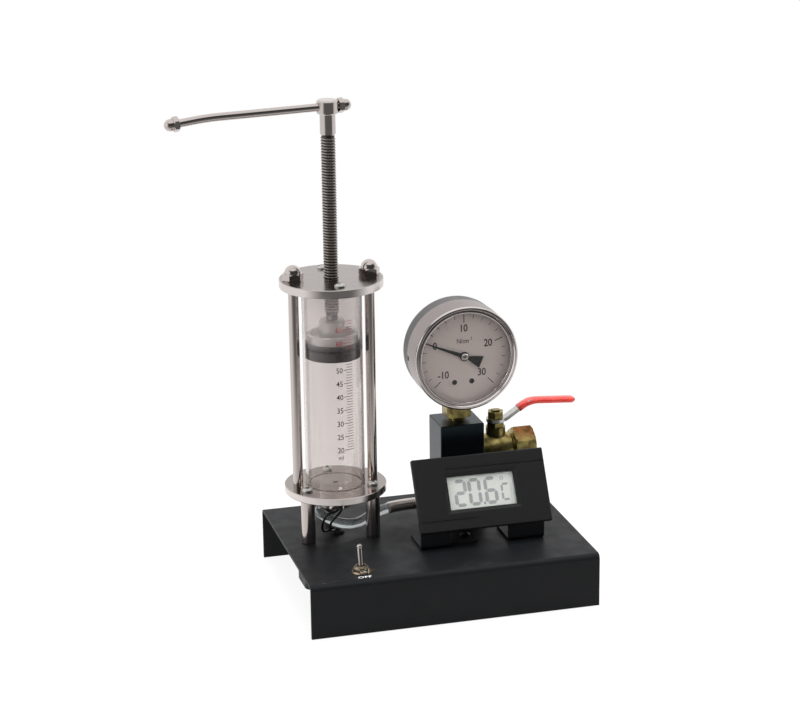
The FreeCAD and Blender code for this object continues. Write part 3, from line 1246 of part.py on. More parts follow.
def thermo_bracket():
    """The bent sheet: a panel behind the thermometer's frame, two legs and two feet turned back."""
    tilt = math.radians(THERMO_TILT)
    middle = BEZEL_THICK + BRACKET_SHEET / 2
    leg_y = bracket_leg_y() + BRACKET_SHEET / 2
    lift = BASE_HEIGHT + THERMO_LIFT

    def behind(v):
        y = THERMO_Y + v * math.sin(tilt) + middle * math.cos(tilt)
        return y, lift + v * math.cos(tilt) - middle * math.sin(tilt)

    foot_z = BASE_HEIGHT + BRACKET_SHEET / 2
    points = [behind(BODY_INSET), behind(0), (leg_y, foot_z), (bracket_leg_y() + BRACKET_FLANGE, foot_z)]
    left = THERMO_X + BRACKET_EDGE
    right = THERMO_X + FOOT_RIGHT_START
    sheet = bent_sheet(points, BRACKET_SHEET, BRACKET_BEND, left, LEG_LEFT_WIDTH)
    sheet = sheet.fuse(bent_sheet(points, BRACKET_SHEET, BRACKET_BEND, right, FOOT_RIGHT_WIDTH))
    panel_size = (THERMO_WIDTH - 2 * BRACKET_EDGE, BRACKET_SHEET, THERMO_HEIGHT - 4 * BRACKET_EDGE)
    sheet = sheet.fuse(tilted(box(panel_size, (BRACKET_EDGE, BEZEL_THICK, 3 * BRACKET_EDGE))))
    toe_y = leg_y + BRACKET_SHEET / 2 + BRACKET_BEND
    toe_length = bracket_leg_y() + BRACKET_FLANGE - toe_y
    inside = left + LEG_LEFT_WIDTH
    toe_size = (FOOT_LEFT_WIDTH - LEG_LEFT_WIDTH + 1, toe_length, BRACKET_SHEET)
    toe = box(toe_size, (inside - 1, toe_y, BASE_HEIGHT))
    upright = [edge for edge in toe.Edges if abs(edge.CenterOfMass.z - foot_z) < 0.01]
    corners = [edge for edge in upright if edge.CenterOfMass.x > inside]
    sheet = sheet.fuse(toe.makeFillet(FOOT_CORNER, corners))
    clear = BODY_INSET - 4 * FIT
    opening_size = (THERMO_WIDTH - 2 * clear, 4 * BRACKET_SHEET, THERMO_HEIGHT - 2 * clear)
    sheet = sheet.cut(tilted(box(opening_size, (clear, BEZEL_THICK - 1, clear))))
    for x, y in bracket_screw_places():
        start = (x, y, BASE_HEIGHT - BRACKET_SHEET)
        sheet = sheet.cut(cylinder(BRACKET_SCREW / 2 + FIT, 3 * BRACKET_SHEET, start))
    return sheet


def bracket_screws():
    """Each screw goes down through a foot and the base, into a nut against the sheet's underside."""
    parts = []
    length = BRACKET_SHEET + BASE_SHEET + BRACKET_SCREW_TAIL
    for x, y in bracket_screw_places():
        top = (x, y, BASE_HEIGHT + BRACKET_SHEET)
        under = (x, y, SHEET_UNDERSIDE)
        parts.append(pan_screw(BRACKET_SCREW_HEAD, BRACKET_SCREW_HEAD_HEIGHT, BRACKET_SCREW, length, top))
        nut = hexagon(BRACKET_NUT_FLATS, BRACKET_NUT_HEIGHT, under, -Z_AXIS)
        parts.append(nut.cut(cylinder(BRACKET_SCREW / 2 + FIT, BRACKET_NUT_HEIGHT, under, -Z_AXIS)))
    return Part.makeCompound(parts)


# Toggle switch

def switch_body():
    """The switch's box under the sheet and its threaded bushing up through the hole."""
    width, depth, height = SWITCH_BODY
    low = SHEET_UNDERSIDE - height
    body = box(SWITCH_BODY, (SWITCH_X - width / 2, SWITCH_Y - depth / 2, low))
    bushing_top = BASE_HEIGHT + SWITCH_BUSHING_TOP
    foot = (SWITCH_X, SWITCH_Y, SHEET_UNDERSIDE)
    body = body.fuse(cylinder(SWITCH_BUSHING / 2, bushing_top - SHEET_UNDERSIDE, foot))
    floor = BASE_HEIGHT + TOGGLE_PIVOT - TOGGLE_ROOM
    return body.cut(cylinder(SWITCH_BORE / 2, bushing_top - floor, (SWITCH_X, SWITCH_Y, floor)))


def switch_washer():
    """The tabbed washer under the nut, with its tab to the right."""
    start = (SWITCH_X, SWITCH_Y, BASE_HEIGHT)
    radius = SWITCH_WASHER / 2
    touch = math.acos(radius / SWITCH_TAB)
    along = radius * math.cos(touch)
    across = radius * math.sin(touch)
    corners = ((along, across), (SWITCH_TAB, 0), (along, -across), (along, across))
    outline = Part.makePolygon([Vector(*start) + Vector(x, y, 0) for x, y in corners])
    tab = Part.Face(outline).extrude(Vector(0, 0, SWITCH_WASHER_THICK))
    washer = cylinder(radius, SWITCH_WASHER_THICK, start).fuse(tab)
    hole = (SWITCH_X + SWITCH_TAB_HOLE_AT, SWITCH_Y, BASE_HEIGHT)
    washer = washer.cut(cylinder(SWITCH_TAB_HOLE / 2, SWITCH_WASHER_THICK, hole))
    return washer.cut(cylinder(SWITCH_BUSHING / 2 + FIT, SWITCH_WASHER_THICK, start))


def switch_nut():
    start = (SWITCH_X, SWITCH_Y, BASE_HEIGHT + SWITCH_WASHER_THICK)
    nut = hexagon(SWITCH_NUT_FLATS, SWITCH_NUT_HEIGHT, start, Z_AXIS, 8)
    return nut.cut(cylinder(SWITCH_BUSHING / 2 + FIT, SWITCH_NUT_HEIGHT, start))


def toggle_lever():
    """The lever at rest, tilted towards the back about its pivot in the bushing."""
    pivot = TOGGLE_PIVOT
    joint = TOGGLE_JOINT / 2
    thin = TOGGLE_BASE / 2
    wide = TOGGLE_END / 2
    ball = TOGGLE_BALL / 2
    middle = TOGGLE_TIP - pivot - ball
    tail = joint / 2
    steps = [(0, -TOGGLE_TAIL), (tail, -TOGGLE_TAIL), (tail, -math.sqrt(joint ** 2 - tail ** 2)),
             ((joint, 0), (thin, math.sqrt(joint ** 2 - thin ** 2))), (thin, SWITCH_BUSHING_TOP - pivot),
             (wide, middle - math.sqrt(ball ** 2 - wide ** 2)), ((ball, middle), (0, middle + ball))]
    lever = turned(steps, (SWITCH_X, SWITCH_Y, BASE_HEIGHT + pivot))
    pin_start = (SWITCH_X - TOGGLE_PIN_LENGTH / 2, SWITCH_Y, BASE_HEIGHT + pivot)
    lever = lever.fuse(cylinder(TOGGLE_PIN / 2, TOGGLE_PIN_LENGTH, pin_start, X_AXIS))
    lever.rotate(Vector(SWITCH_X, SWITCH_Y, BASE_HEIGHT + pivot), X_AXIS, -TOGGLE_TILT)
    return lever


# Coin cell under the sheet

def cell_place():
    return HOLDER_LEFT + HOLDER_LENGTH / 2, HOLDER_FRONT + HOLDER_WIDTH / 2


def battery_holder():
    """A flat holder open below, with its rounded left end at the base's open side."""
    low = SHEET_UNDERSIDE - HOLDER_THICK
    holder = box((HOLDER_LENGTH, HOLDER_WIDTH, HOLDER_THICK), (HOLDER_LEFT, HOLDER_FRONT, low))
    corners = [edge for edge in holder.Edges if abs(edge.CenterOfMass.z - low - HOLDER_THICK / 2) < 0.01]
    holder = holder.makeFillet(HOLDER_CORNER, corners)
    return holder.cut(cylinder(CELL_DIAMETER / 2 + 0.2, CELL_THICK + 0.1, (*cell_place(), low)))


def coin_cell():
    low = SHEET_UNDERSIDE - HOLDER_THICK
    cell = cylinder(CELL_DIAMETER / 2, CELL_THICK, (*cell_place(), low))
    return cell.makeChamfer(0.3, cell.Edges)


def battery_clip():
    """The contact strip across the cell, with its ends up the holder's sides."""
    out = CLIP_THICK * 0.8
    low = SHEET_UNDERSIDE - HOLDER_THICK - out
    front = HOLDER_FRONT - out
    back = HOLDER_FRONT + HOLDER_WIDTH + out
    points = [(front, low + 3), (front, low), (back, low), (back, low + 3)]
    return bent_sheet(points, CLIP_THICK, CLIP_THICK, cell_place()[0] - CLIP_WIDTH / 2, CLIP_WIDTH)


# Assembly

def base_screws():
    leg_places = [around_column(angle) for angle in LEG_ANGLES]
    legs = screws_under_base(leg_places, LEG_SCREW_DIAMETER, BASE_SCREW_HEAD, BASE_SCREW_DEPTH)
    block = screws_under_base(manifold_screw_places(), MANIFOLD_SCREW, BASE_SCREW_HEAD, MANIFOLD_SCREW_DEPTH)
    return Part.makeCompound([legs, block])


hose, hose_radii, hose_length = cord_tube(HOSE_ROUTE, HOSE_DIAMETER)
LEADS = {side: cord_tube(route, LEAD_DIAMETER) for side, route in LEAD_ROUTES.items()}

NODES = {
    "base_channel": base_channel(),
    "base_screws": base_screws(),
    "battery_holder": battery_holder(),
    "coin_cell": coin_cell(),
    "battery_clip": battery_clip(),
    "grommet": grommet(),
    "legs": Part.makeCompound([leg(angle) for angle in LEG_ANGLES]),
    "leg_screws": leg_screws(),
    "bottom_plate": bottom_plate(),
    "port_block": port_block(),
    "hose_elbow": hose_elbow(),
    "sensor_gland": sensor_gland(),
    "temperature_probe": temperature_probe(),
    "sensor_lead_left": LEADS["left"][0],
    "sensor_lead_right": LEADS["right"][0],
    "barrel": barrel(),
    "gaskets": Part.makeCompound([gasket(z) for z in (CHAMBER_Z - SEAT_DEPTH,
                                                      TOP_PLATE_Z + SEAT_DEPTH - GASKET_THICK)]),
    "tie_rod_left": tie_rod(180),
    "tie_rod_right": tie_rod(0),
    "top_plate": top_plate(),
    "plate_screws": plate_screws(),
    "rod_nuts": Part.makeCompound([rod_nut(180), rod_nut(0)]),
    "piston_body": piston_body(),
    "piston_seal": piston_seal(),
    "swivel_cap": swivel_cap(),
    "lead_screw": lead_screw(),
    "handle_head": handle_head(),
    "tommy_bar": tommy_bar(),
    "bar_nuts": Part.makeCompound([bar_nut_left(), bar_nut_right()]),
    "hose": hose,
    "manifold_union": manifold_union(),
    "manifold_block": manifold_block(),
    "gauge_socket": gauge_socket(),
    "gauge_case": gauge_case(),
    "gauge_ring": gauge_ring(),
    "gauge_glass": gauge_glass(),
    "gauge_dial": gauge_dial(),
    "dial_screws": dial_screws(),
    "pressure_tube": pressure_tube(),
    "gauge_movement": gauge_movement(),
    "pointer": pointer(),
    "valve_body": valve_body(),
    "valve_cap": valve_cap(),
    "valve_seats": valve_seats(),
    "valve_ball": valve_ball(),
    "valve_stem": valve_stem(),
    "stem_packing": stem_packing(),
    "gland_nut": gland_nut(),
    "lever_plate": lever_plate(),
    "lever_sleeve": lever_sleeve(),
    "lever_nut": lever_nut(),
    "thermo_bracket": thermo_bracket(),
    "bracket_screws": bracket_screws(),
    "thermo_case": thermo_case(),
    "thermo_window": thermo_window(),
    "thermo_back": thermo_back(),
    "display_board": display_board(),
    "switch_body": switch_body(),
    "switch_nut": Part.makeCompound([switch_nut(), switch_washer()]),
    "toggle_lever": toggle_lever(),
}

whole = Part.makeCompound(list(NODES.values())).optimalBoundingBox(False)
ORIGIN = Vector((whole.XMin + whole.XMax) / 2, (whole.YMin + whole.YMax) / 2, whole.ZMin)


def save_parts():
    os.makedirs("parts", exist_ok=True)
    for name, shape in NODES.items():
        placed = shape.copy()
        placed.translate(-ORIGIN)
        placed.exportStep("parts/" + name + ".step")
        print(name, "solids", len(placed.Solids), "valid", placed.isValid(), "mm3", round(placed.Volume, 1))


def report_cords():
    cords = {"hose": (hose, hose_radii, hose_length, HOSE_DIAMETER)}
    for side, (tube, radii, length) in LEADS.items():
        cords["sensor_lead_" + side] = (tube, radii, length, LEAD_DIAMETER)
    for name, (tube, radii, length, diameter) in cords.items():
        expected = math.pi * diameter ** 2 / 4 * length
        print(name, "length", round(length, 1), "smallest radius", round(min(radii), 2),
              "volume", round(tube.Volume, 1), "section times length", round(expected, 1))


save_parts()
report_cords()
print("origin in the build frame", [round(value, 3) for value in ORIGIN])
print("size", round(whole.XLength, 2), round(whole.YLength, 2), round(whole.ZLength, 2), "parts", len(NODES))
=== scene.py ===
import math

import bmesh
import bpy
from mathutils import Matrix, Vector


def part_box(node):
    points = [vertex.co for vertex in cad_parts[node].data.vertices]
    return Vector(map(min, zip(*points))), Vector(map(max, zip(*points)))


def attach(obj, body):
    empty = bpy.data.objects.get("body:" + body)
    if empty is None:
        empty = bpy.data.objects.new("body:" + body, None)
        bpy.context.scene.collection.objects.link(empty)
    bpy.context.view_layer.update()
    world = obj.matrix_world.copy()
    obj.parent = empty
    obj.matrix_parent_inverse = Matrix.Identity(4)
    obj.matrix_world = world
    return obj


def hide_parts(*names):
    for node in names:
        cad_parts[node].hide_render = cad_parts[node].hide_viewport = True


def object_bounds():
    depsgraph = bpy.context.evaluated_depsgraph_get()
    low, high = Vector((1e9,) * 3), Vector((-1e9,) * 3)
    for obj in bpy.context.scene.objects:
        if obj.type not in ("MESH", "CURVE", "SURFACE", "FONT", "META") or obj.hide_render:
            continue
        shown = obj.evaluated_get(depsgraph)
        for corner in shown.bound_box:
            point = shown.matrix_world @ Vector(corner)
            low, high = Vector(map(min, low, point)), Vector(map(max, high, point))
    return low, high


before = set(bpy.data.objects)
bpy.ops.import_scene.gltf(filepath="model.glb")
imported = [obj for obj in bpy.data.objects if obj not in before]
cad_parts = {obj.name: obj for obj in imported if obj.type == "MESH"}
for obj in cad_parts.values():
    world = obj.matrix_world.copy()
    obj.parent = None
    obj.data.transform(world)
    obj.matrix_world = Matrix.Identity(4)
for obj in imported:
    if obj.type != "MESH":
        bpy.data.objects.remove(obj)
cad_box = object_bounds()

# Places on the frame, in metres. The base's front left bottom corner is where sizes are counted from.
MM = 0.001
CORNER = Vector(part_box("base_channel")[0])


def place(x, y, z):
    """A point given in millimetres from the base's front left bottom corner."""
    return CORNER + Vector((x, y, z)) * MM


def middle(node):
    low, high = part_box(node)
    return (Vector(low) + Vector(high)) / 2


COLUMN = middle("barrel")
BARREL_RADIUS = (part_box("barrel")[1][0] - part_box("barrel")[0][0]) / 2
GAUGE = middle("gauge_ring")
DIAL_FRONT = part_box("gauge_dial")[0][1]
BASE_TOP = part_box("base_channel")[1][2]

# The barrel's scale: its zero over the base's lower edge, the rise of one millilitre, and, round the barrel
# from its front, where the marks end and where the numbers are centred
SCALE_ZERO = 51.6 * MM
SCALE_STEP = 1.473 * MM
SCALE_RIGHT = 7.2 * MM
SCALE_LABEL = -0.35 * MM

# How far ink stands off what it is printed on
INK_LIFT = 0.03 * MM
DIAL_INK_LIFT = 0.04 * MM

# Diameters of the cords and the place where the hose's spring starts, in millimetres
HOSE_DIAMETER = 5.6
LEAD_DIAMETER = 1.3
SPRING_START = 61.5

# Routes of the hose and the two sensor leads, in millimetres
HOSE_ROUTE = [
    (17.9, 76.2, 46.2), (17.9, 71.3, 46.2), (20.0, 67.1, 43.3), (25.2, 64.6, 39.9), (31.6, 63.6, 37.1),
    (38.6, 64.8, 35.5), (44.4, 68.6, 35.1), (49.6, 72.8, 35.9), (56.2, 76.0, 37.3), (65.0, 77.7, 38.2),
    (74.7, 78.2, 38.5), (84.3, 78.2, 38.5),
]
LEFT_LEAD_ROUTE = [
    (30.35, 60.9, 49.0), (30.35, 60.9, 46.9), (28.5, 60.3, 45.3), (25.5, 60.0, 45.0), (22.9, 60.6, 43.4),
    (21.6, 61.9, 39.9), (21.2, 63.8, 36.0), (22.4, 66.6, 32.6), (25.5, 69.4, 31.2), (28.7, 71.3, 32.2),
    (30.85, 72.3, 31.3), (30.85, 72.3, 28.9),
]
RIGHT_LEAD_ROUTE = [
    (31.85, 60.9, 49.0), (31.85, 60.9, 46.5), (30.3, 60.0, 44.4), (27.8, 59.3, 42.7), (25.6, 60.1, 39.8),
    (25.0, 61.7, 36.2), (26.0, 64.4, 33.0), (28.4, 67.4, 31.8), (30.9, 70.1, 32.3), (32.35, 72.3, 31.2),
    (32.35, 72.3, 28.6),
]


# Node and colour helpers

def linear(code):
    """A colour written as sRGB hex, turned to linear values."""
    parts = [int(code[start:start + 2], 16) / 255 for start in (0, 2, 4)]
    return tuple(p / 12.92 if p <= 0.04045 else ((p + 0.055) / 1.055) ** 2.4 for p in parts) + (1.0,)


def add(tree, kind, inputs=None, **settings):
    """One node with its settings. An input is given a value, or another node's output to link."""
    node = tree.nodes.new(kind)
    for name, value in settings.items():
        setattr(node, name, value)
    for key, value in (inputs or {}).items():
        if isinstance(value, bpy.types.NodeSocket):
            tree.links.new(value, node.inputs[key])
        else:
            node.inputs[key].default_value = value
    return node


def new_material(name, base, **values):
    """A material with a plain shader to start from: its name, sRGB base colour and shader values."""
    material = bpy.data.materials.new(name)
    material.use_nodes = True
    tree = material.node_tree
    shader = tree.nodes["Principled BSDF"]
    shader.inputs["Base Color"].default_value = linear(base)
    for key, value in values.items():
        shader.inputs[key.replace("_", " ").title().replace("Ior", "IOR")].default_value = value
    return material, tree, shader


def object_noise(tree, size_mm, detail=2.0, stretch=(1, 1, 1)):
    """Noise in object space whose lumps are about this wide, in millimetres."""
    coords = add(tree, "ShaderNodeTexCoord").outputs["Object"]
    if stretch != (1, 1, 1):
        coords = add(tree, "ShaderNodeMapping", {"Vector": coords, "Scale": stretch}).outputs["Vector"]
    noise = add(tree, "ShaderNodeTexNoise", {"Vector": coords, "Scale": 1000 / size_mm, "Detail": detail})
    return noise.outputs["Fac"]


def vary_roughness(tree, shader, pattern, low, high):
    spread = add(tree, "ShaderNodeMapRange", {"Value": pattern, "From Min": 0.3, "From Max": 0.7,
                                              "To Min": low, "To Max": high})
    tree.links.new(spread.outputs["Result"], shader.inputs["Roughness"])


def vary_colour(tree, shader, pattern, first, second, low=0.35, high=0.65):
    """Base colour that follows a pattern from the first sRGB hex to the second, between two of its levels."""
    ramp = add(tree, "ShaderNodeMapRange", {"Value": pattern, "From Min": low, "From Max": high})
    mix = add(tree, "ShaderNodeMixRGB", {"Fac": ramp.outputs["Result"], "Color1": linear(first),
                                         "Color2": linear(second)})
    tree.links.new(mix.outputs["Color"], shader.inputs["Base Color"])


def raise_bump(tree, shader, pattern, height_mm, strength=1.0):
    bump = add(tree, "ShaderNodeBump", {"Height": pattern, "Distance": height_mm * MM, "Strength": strength})
    tree.links.new(bump.outputs["Normal"], shader.inputs["Normal"])


def from_column(tree):
    """Object coordinates counted from the column's upright axis."""
    coords = add(tree, "ShaderNodeTexCoord").outputs["Object"]
    centred = add(tree, "ShaderNodeMapping", {"Vector": coords, "Location": (-COLUMN.x, -COLUMN.y, 0)})
    return centred.outputs["Vector"]


def facing(tree, axis):
    """How squarely a face looks along an axis of the object, from 0 for edge on to 1."""
    parts = add(tree, "ShaderNodeSeparateXYZ", {0: add(tree, "ShaderNodeTexCoord").outputs["Normal"]})
    return add(tree, "ShaderNodeMath", {0: parts.outputs[axis]}, operation="ABSOLUTE").outputs[0]


# Materials

def uneven_gloss(name, base, size_mm, detail, low, high, **values):
    """A material of one colour whose roughness varies between two levels, in patches of this size."""
    material, tree, shader = new_material(name, base, **values)
    vary_roughness(tree, shader, object_noise(tree, size_mm, detail), low, high)
    return material


# Bright nickel over steel: a slightly warm mirror with faint cloudiness
NICKEL = uneven_gloss("bright nickel plate", "CBC2BE", 2.5, 3, 0.07, 0.17, metallic=1.0, roughness=0.1)

# Flat clear glass over a dial or display: almost nothing but its reflections
GLASS = uneven_gloss("flat clear glass", "F6F8F7", 20.0, 2, 0.01, 0.03, roughness=0.02, ior=1.46,
                     transmission_weight=1.0)

# Close-wound spring steel wire: bright on top of each turn
SPRING_WIRE = uneven_gloss("bright spring wire", "D6CEC8", 0.8, 2, 0.12, 0.24, metallic=1.0, roughness=0.16)

# Black vinyl wire insulation: smooth with a dull gloss
INSULATION = uneven_gloss("black wire insulation", "161616", 1.5, 2, 0.3, 0.45, roughness=0.36, ior=1.5)

# Screen-printed ink: one flat colour with a slight, uneven sheen
BLACK_INK, RED_INK, WHITE_INK, SEGMENT_GREY = [
    uneven_gloss(name, colour, 0.3, 2, 0.42, 0.6, roughness=0.5, ior=1.5)
    for name, colour in (("black screen print", "1E1C1D"), ("red screen print", "8C2632"),
                         ("white screen print", "E9EAEA"), ("display segment grey", "B4B1B5"))]

# White low-friction plastic for seats and packing: waxy, with a soft dull shine
SEAT_WHITE = uneven_gloss("white low friction plastic", "E6E5E0", 1.0, 2, 0.35, 0.5, roughness=0.4, ior=1.35)

# Black oxide screws: a dark oiled skin with a dull metallic shine
BLACK_OXIDE = uneven_gloss("black oxide steel", "2B2826", 0.8, 2, 0.32, 0.48, metallic=0.8, roughness=0.38)

# Milky silicone rubber: pale and soft, hardly seen against the clear tube
SILICONE = uneven_gloss("milky silicone", "CFC6C3", 2.0, 2, 0.34, 0.48, roughness=0.4, ior=1.41)


def make_powder_coat():
    # Satin black polyester powder on steel: a soft sheen with a fine orange-peel texture
    material, tree, shader = new_material("satin black powder coat", "131416", roughness=0.48, ior=1.5,
                                          specular_ior_level=0.19)
    vary_roughness(tree, shader, object_noise(tree, 9.0, 3), 0.43, 0.54)
    raise_bump(tree, shader, object_noise(tree, 0.55, 2), 0.02, 0.5)
    return material


def make_turned_stainless():
    # Stainless plate turned on a lathe: rings of tool marks on its dull faces, and a rim coloured paler as a
    # painted highlight.
    # The rings are drawn 0.5 mm apart, coarser than real ones, so that they show
    material, tree, shader = new_material("turned stainless steel", "A39B97", metallic=1.0, roughness=0.3)
    rings = add(tree, "ShaderNodeTexWave", {"Vector": from_column(tree), "Scale": 620.0, "Distortion": 1.2,
                                            "Detail": 2.0, "Detail Scale": 2.0},
                wave_type="RINGS", rings_direction="Z")
    vary_roughness(tree, shader, object_noise(tree, 5.0, 3), 0.15, 0.24)
    # Painted highlight: faces that look sideways, such as the rim, are paler than those that look up or down
    vary_colour(tree, shader, facing(tree, "Z"), "DED6D2", "9C9490", 0.5, 0.9)
    raise_bump(tree, shader, rings.outputs["Fac"], 0.004, 0.6)
    return material


def make_polished_stainless():
    # Drawn and polished stainless bar: clear reflections, drawn out a little along the bar
    material, tree, shader = new_material("polished stainless bar", "CFC5C0", metallic=1.0, roughness=0.14)
    grain = object_noise(tree, 0.3, 2, (1, 1, 0.02))
    vary_roughness(tree, shader, grain, 0.1, 0.2)
    raise_bump(tree, shader, grain, 0.002, 0.5)
    return material


def make_zinc_plate():
    # Zinc plated steel: cool grey, duller than nickel, with small crystalline patches
    material, tree, shader = new_material("zinc plated steel", "CBCCC8", metallic=1.0, roughness=0.3)
    patches = object_noise(tree, 1.2, 3)
    vary_roughness(tree, shader, patches, 0.24, 0.4)
    vary_colour(tree, shader, patches, "C0C1BD", "D6D6D1")
    return material


def make_oiled_thread():
    # Steel under oil, coloured by distance from the column's axis: dark at the thread roots and pale on the
    # crests
    material, tree, shader = new_material("oiled black steel", "6C6A67", metallic=1.0, roughness=0.3)
    flat = add(tree, "ShaderNodeVectorMath", {0: from_column(tree), 1: (1, 1, 0)}, operation="MULTIPLY")
    reach = add(tree, "ShaderNodeVectorMath", {0: flat.outputs["Vector"]}, operation="LENGTH")
    # Darker towards the thread roots, paler towards the crests
    crest = add(tree, "ShaderNodeMapRange", {"Value": reach.outputs["Value"], "From Min": 3.35 * MM,
                                             "From Max": 3.95 * MM})
    mix = add(tree, "ShaderNodeMixRGB", {"Fac": crest.outputs["Result"], "Color1": linear("332E2B"),
                                         "Color2": linear("B4ACA6")})
    tree.links.new(mix.outputs["Color"], shader.inputs["Base Color"])
    vary_roughness(tree, shader, object_noise(tree, 1.0, 3), 0.24, 0.38)
    return material


def make_machined_aluminium():
    # Turned aluminium: pale, with soft reflections and fine feed marks round the column's axis
    material, tree, shader = new_material("machined aluminium", "D2D1D0", metallic=1.0, roughness=0.34)
    marks = object_noise(tree, 0.25, 1, (0.05, 0.05, 1))
    vary_roughness(tree, shader, marks, 0.28, 0.42)
    raise_bump(tree, shader, marks, 0.004, 0.5)
    return material


def make_black_anodised():
    # Black anodised aluminium: a dark skin with a cool satin sheen
    material, tree, shader = new_material("black anodised aluminium", "090A0C", roughness=0.36, ior=1.5,
                                          specular_tint=linear("B9DDE8"))
    grain = object_noise(tree, 0.35, 2, (1, 1, 0.12))
    vary_roughness(tree, shader, grain, 0.28, 0.4)
    raise_bump(tree, shader, grain, 0.003, 0.5)
    return material


def make_dull_brass():
    # Machined brass gone dull and greenish with handling: patchy, with a soft shine
    material, tree, shader = new_material("dull machined brass", "8A7E54", metallic=1.0, roughness=0.3)
    tarnish = object_noise(tree, 3.5, 4)
    vary_colour(tree, shader, tarnish, "786C42", "B5A669")
    vary_roughness(tree, shader, tarnish, 0.42, 0.3)
    raise_bump(tree, shader, object_noise(tree, 0.4, 2), 0.004, 0.5)
    return material


def make_clear_tube():
    # Clear cast acrylic: a faint warm cast, a few rubbing marks and a thin haze over its upper third
    material, tree, shader = new_material("clear cast acrylic", "ECE7E5", roughness=0.03, ior=1.49,
                                          transmission_weight=1.0)
    vary_roughness(tree, shader, object_noise(tree, 12.0, 3, (1, 1, 0.3)), 0.015, 0.06)
    spot = add(tree, "ShaderNodeSeparateXYZ", {0: add(tree, "ShaderNodeTexCoord").outputs["Object"]})
    haze = add(tree, "ShaderNodeMapRange", {"Value": spot.outputs["Z"], "From Min": place(0, 0, 136).z,
                                            "From Max": place(0, 0, 142).z, "To Min": 0.015, "To Max": 0.14})
    film = add(tree, "ShaderNodeBsdfDiffuse", {"Color": linear("E4DCD9")})
    skin = add(tree, "ShaderNodeMixShader", {0: haze.outputs["Result"], 1: shader.outputs[0],
                                             2: film.outputs[0]})
    tree.links.new(skin.outputs[0], tree.nodes["Material Output"].inputs["Surface"])
    return material


def make_clear_vinyl():
    # Clear soft vinyl tube: a little smoky, with glossy lengthwise highlights
    material, tree, shader = new_material("clear soft vinyl", "D5DADB", roughness=0.08, ior=1.5,
                                          transmission_weight=0.8)
    vary_roughness(tree, shader, object_noise(tree, 4.0, 2), 0.05, 0.14)
    raise_bump(tree, shader, object_noise(tree, 5.0, 1), 0.05, 0.4)
    return material


def make_rubber():
    # Moulded black rubber: matt, with a faint grey bloom
    material, tree, shader = new_material("moulded black rubber", "281F1D", roughness=0.6, ior=1.52)
    vary_colour(tree, shader, object_noise(tree, 3.0, 3), "231B19", "352B28")
    raise_bump(tree, shader, object_noise(tree, 0.2, 2), 0.01, 0.5)
    return material


def make_case_enamel():
    # Dark grey stove enamel on pressed steel: smooth and satin
    material, tree, shader = new_material("dark grey stove enamel", "3A3838", roughness=0.36, ior=1.5)
    vary_roughness(tree, shader, object_noise(tree, 6.0, 3), 0.3, 0.42)
    raise_bump(tree, shader, object_noise(tree, 0.8, 2), 0.01, 0.4)
    return material


def make_ring_stainless():
    # Spun stainless ring: dull brushed sides, and a buffed lip with clear bright reflections. Its colour also
    # follows facing: painted shade darkens the sides and a painted highlight pales the lip
    material, tree, shader = new_material("spun stainless ring", "B8AEAC", metallic=1.0, roughness=0.2)
    marks = object_noise(tree, 0.5, 2, (0.06, 1, 0.06))
    lip_gloss_and_painted_light = facing(tree, "Y")
    # Painted shade and highlight: the sides, edge on to the gauge's axis, are darker, and the lip, facing
    # along it, paler
    vary_colour(tree, shader, lip_gloss_and_painted_light, "988E8B", "DDD5D2", 0.05, 0.4)
    gloss = add(tree, "ShaderNodeMapRange", {"Value": lip_gloss_and_painted_light, "From Min": 0.05, "From Max": 0.4, "To Min": 0.3,
                                             "To Max": 0.12})
    tree.links.new(gloss.outputs["Result"], shader.inputs["Roughness"])
    raise_bump(tree, shader, marks, 0.003, 0.5)
    return material


def make_dial_paint():
    # Silver grey dial lacquer: matt metallic flake under a dull coat
    material, tree, shader = new_material("silver dial lacquer", "E4D2CE", metallic=0.1, roughness=0.5)
    flake = object_noise(tree, 0.15, 1)
    vary_colour(tree, shader, flake, "DFCCC8", "E9D8D4")
    raise_bump(tree, shader, flake, 0.003, 0.4)
    return material


def make_red_vinyl():
    # Dipped red vinyl: thick and soft, with broad highlights and slight waviness
    material, tree, shader = new_material("dipped red vinyl", "C9362D", roughness=0.25, ior=1.5,
                                          coat_weight=0.6, coat_roughness=0.12)
    vary_colour(tree, shader, object_noise(tree, 6.0, 2), "C33027", "CF3F36")
    raise_bump(tree, shader, object_noise(tree, 3.0, 2), 0.06, 0.5)
    return material


def make_textured_plastic():
    # Moulded black plastic from a spark-eroded tool: an even fine texture that kills reflections
    material, tree, shader = new_material("spark-textured black plastic", "141415", roughness=0.55, ior=1.53,
                                          specular_ior_level=0.35)
    vary_roughness(tree, shader, object_noise(tree, 8.0, 2), 0.45, 0.56)
    raise_bump(tree, shader, object_noise(tree, 0.3, 2), 0.015, 0.6)
    return material


def make_display_glass():
    # Reflective liquid crystal display: nearly white, with a faint green mottle from its rear polariser
    material, tree, shader = new_material("reflective display", "F6F7F2", roughness=0.42, ior=1.5)
    vary_colour(tree, shader, object_noise(tree, 0.4, 1), "F2F4EC", "FAFAF7")
    return material


def make_warm_nickel():
    # Nickel over brass, worn and yellowed by fingers: warm shine with dull patches
    material, tree, shader = new_material("yellowed nickel over brass", "CFC1AE", metallic=1.0, roughness=0.2)
    wear = object_noise(tree, 1.4, 3)
    vary_colour(tree, shader, wear, "BBA98C", "E2D9CB")
    vary_roughness(tree, shader, wear, 0.28, 0.14)
    return material


OILED_THREAD = make_oiled_thread()
VINYL_TUBE = make_clear_vinyl()
RING_STAINLESS = make_ring_stainless()
RED_VINYL = make_red_vinyl()
WARM_NICKEL = make_warm_nickel()

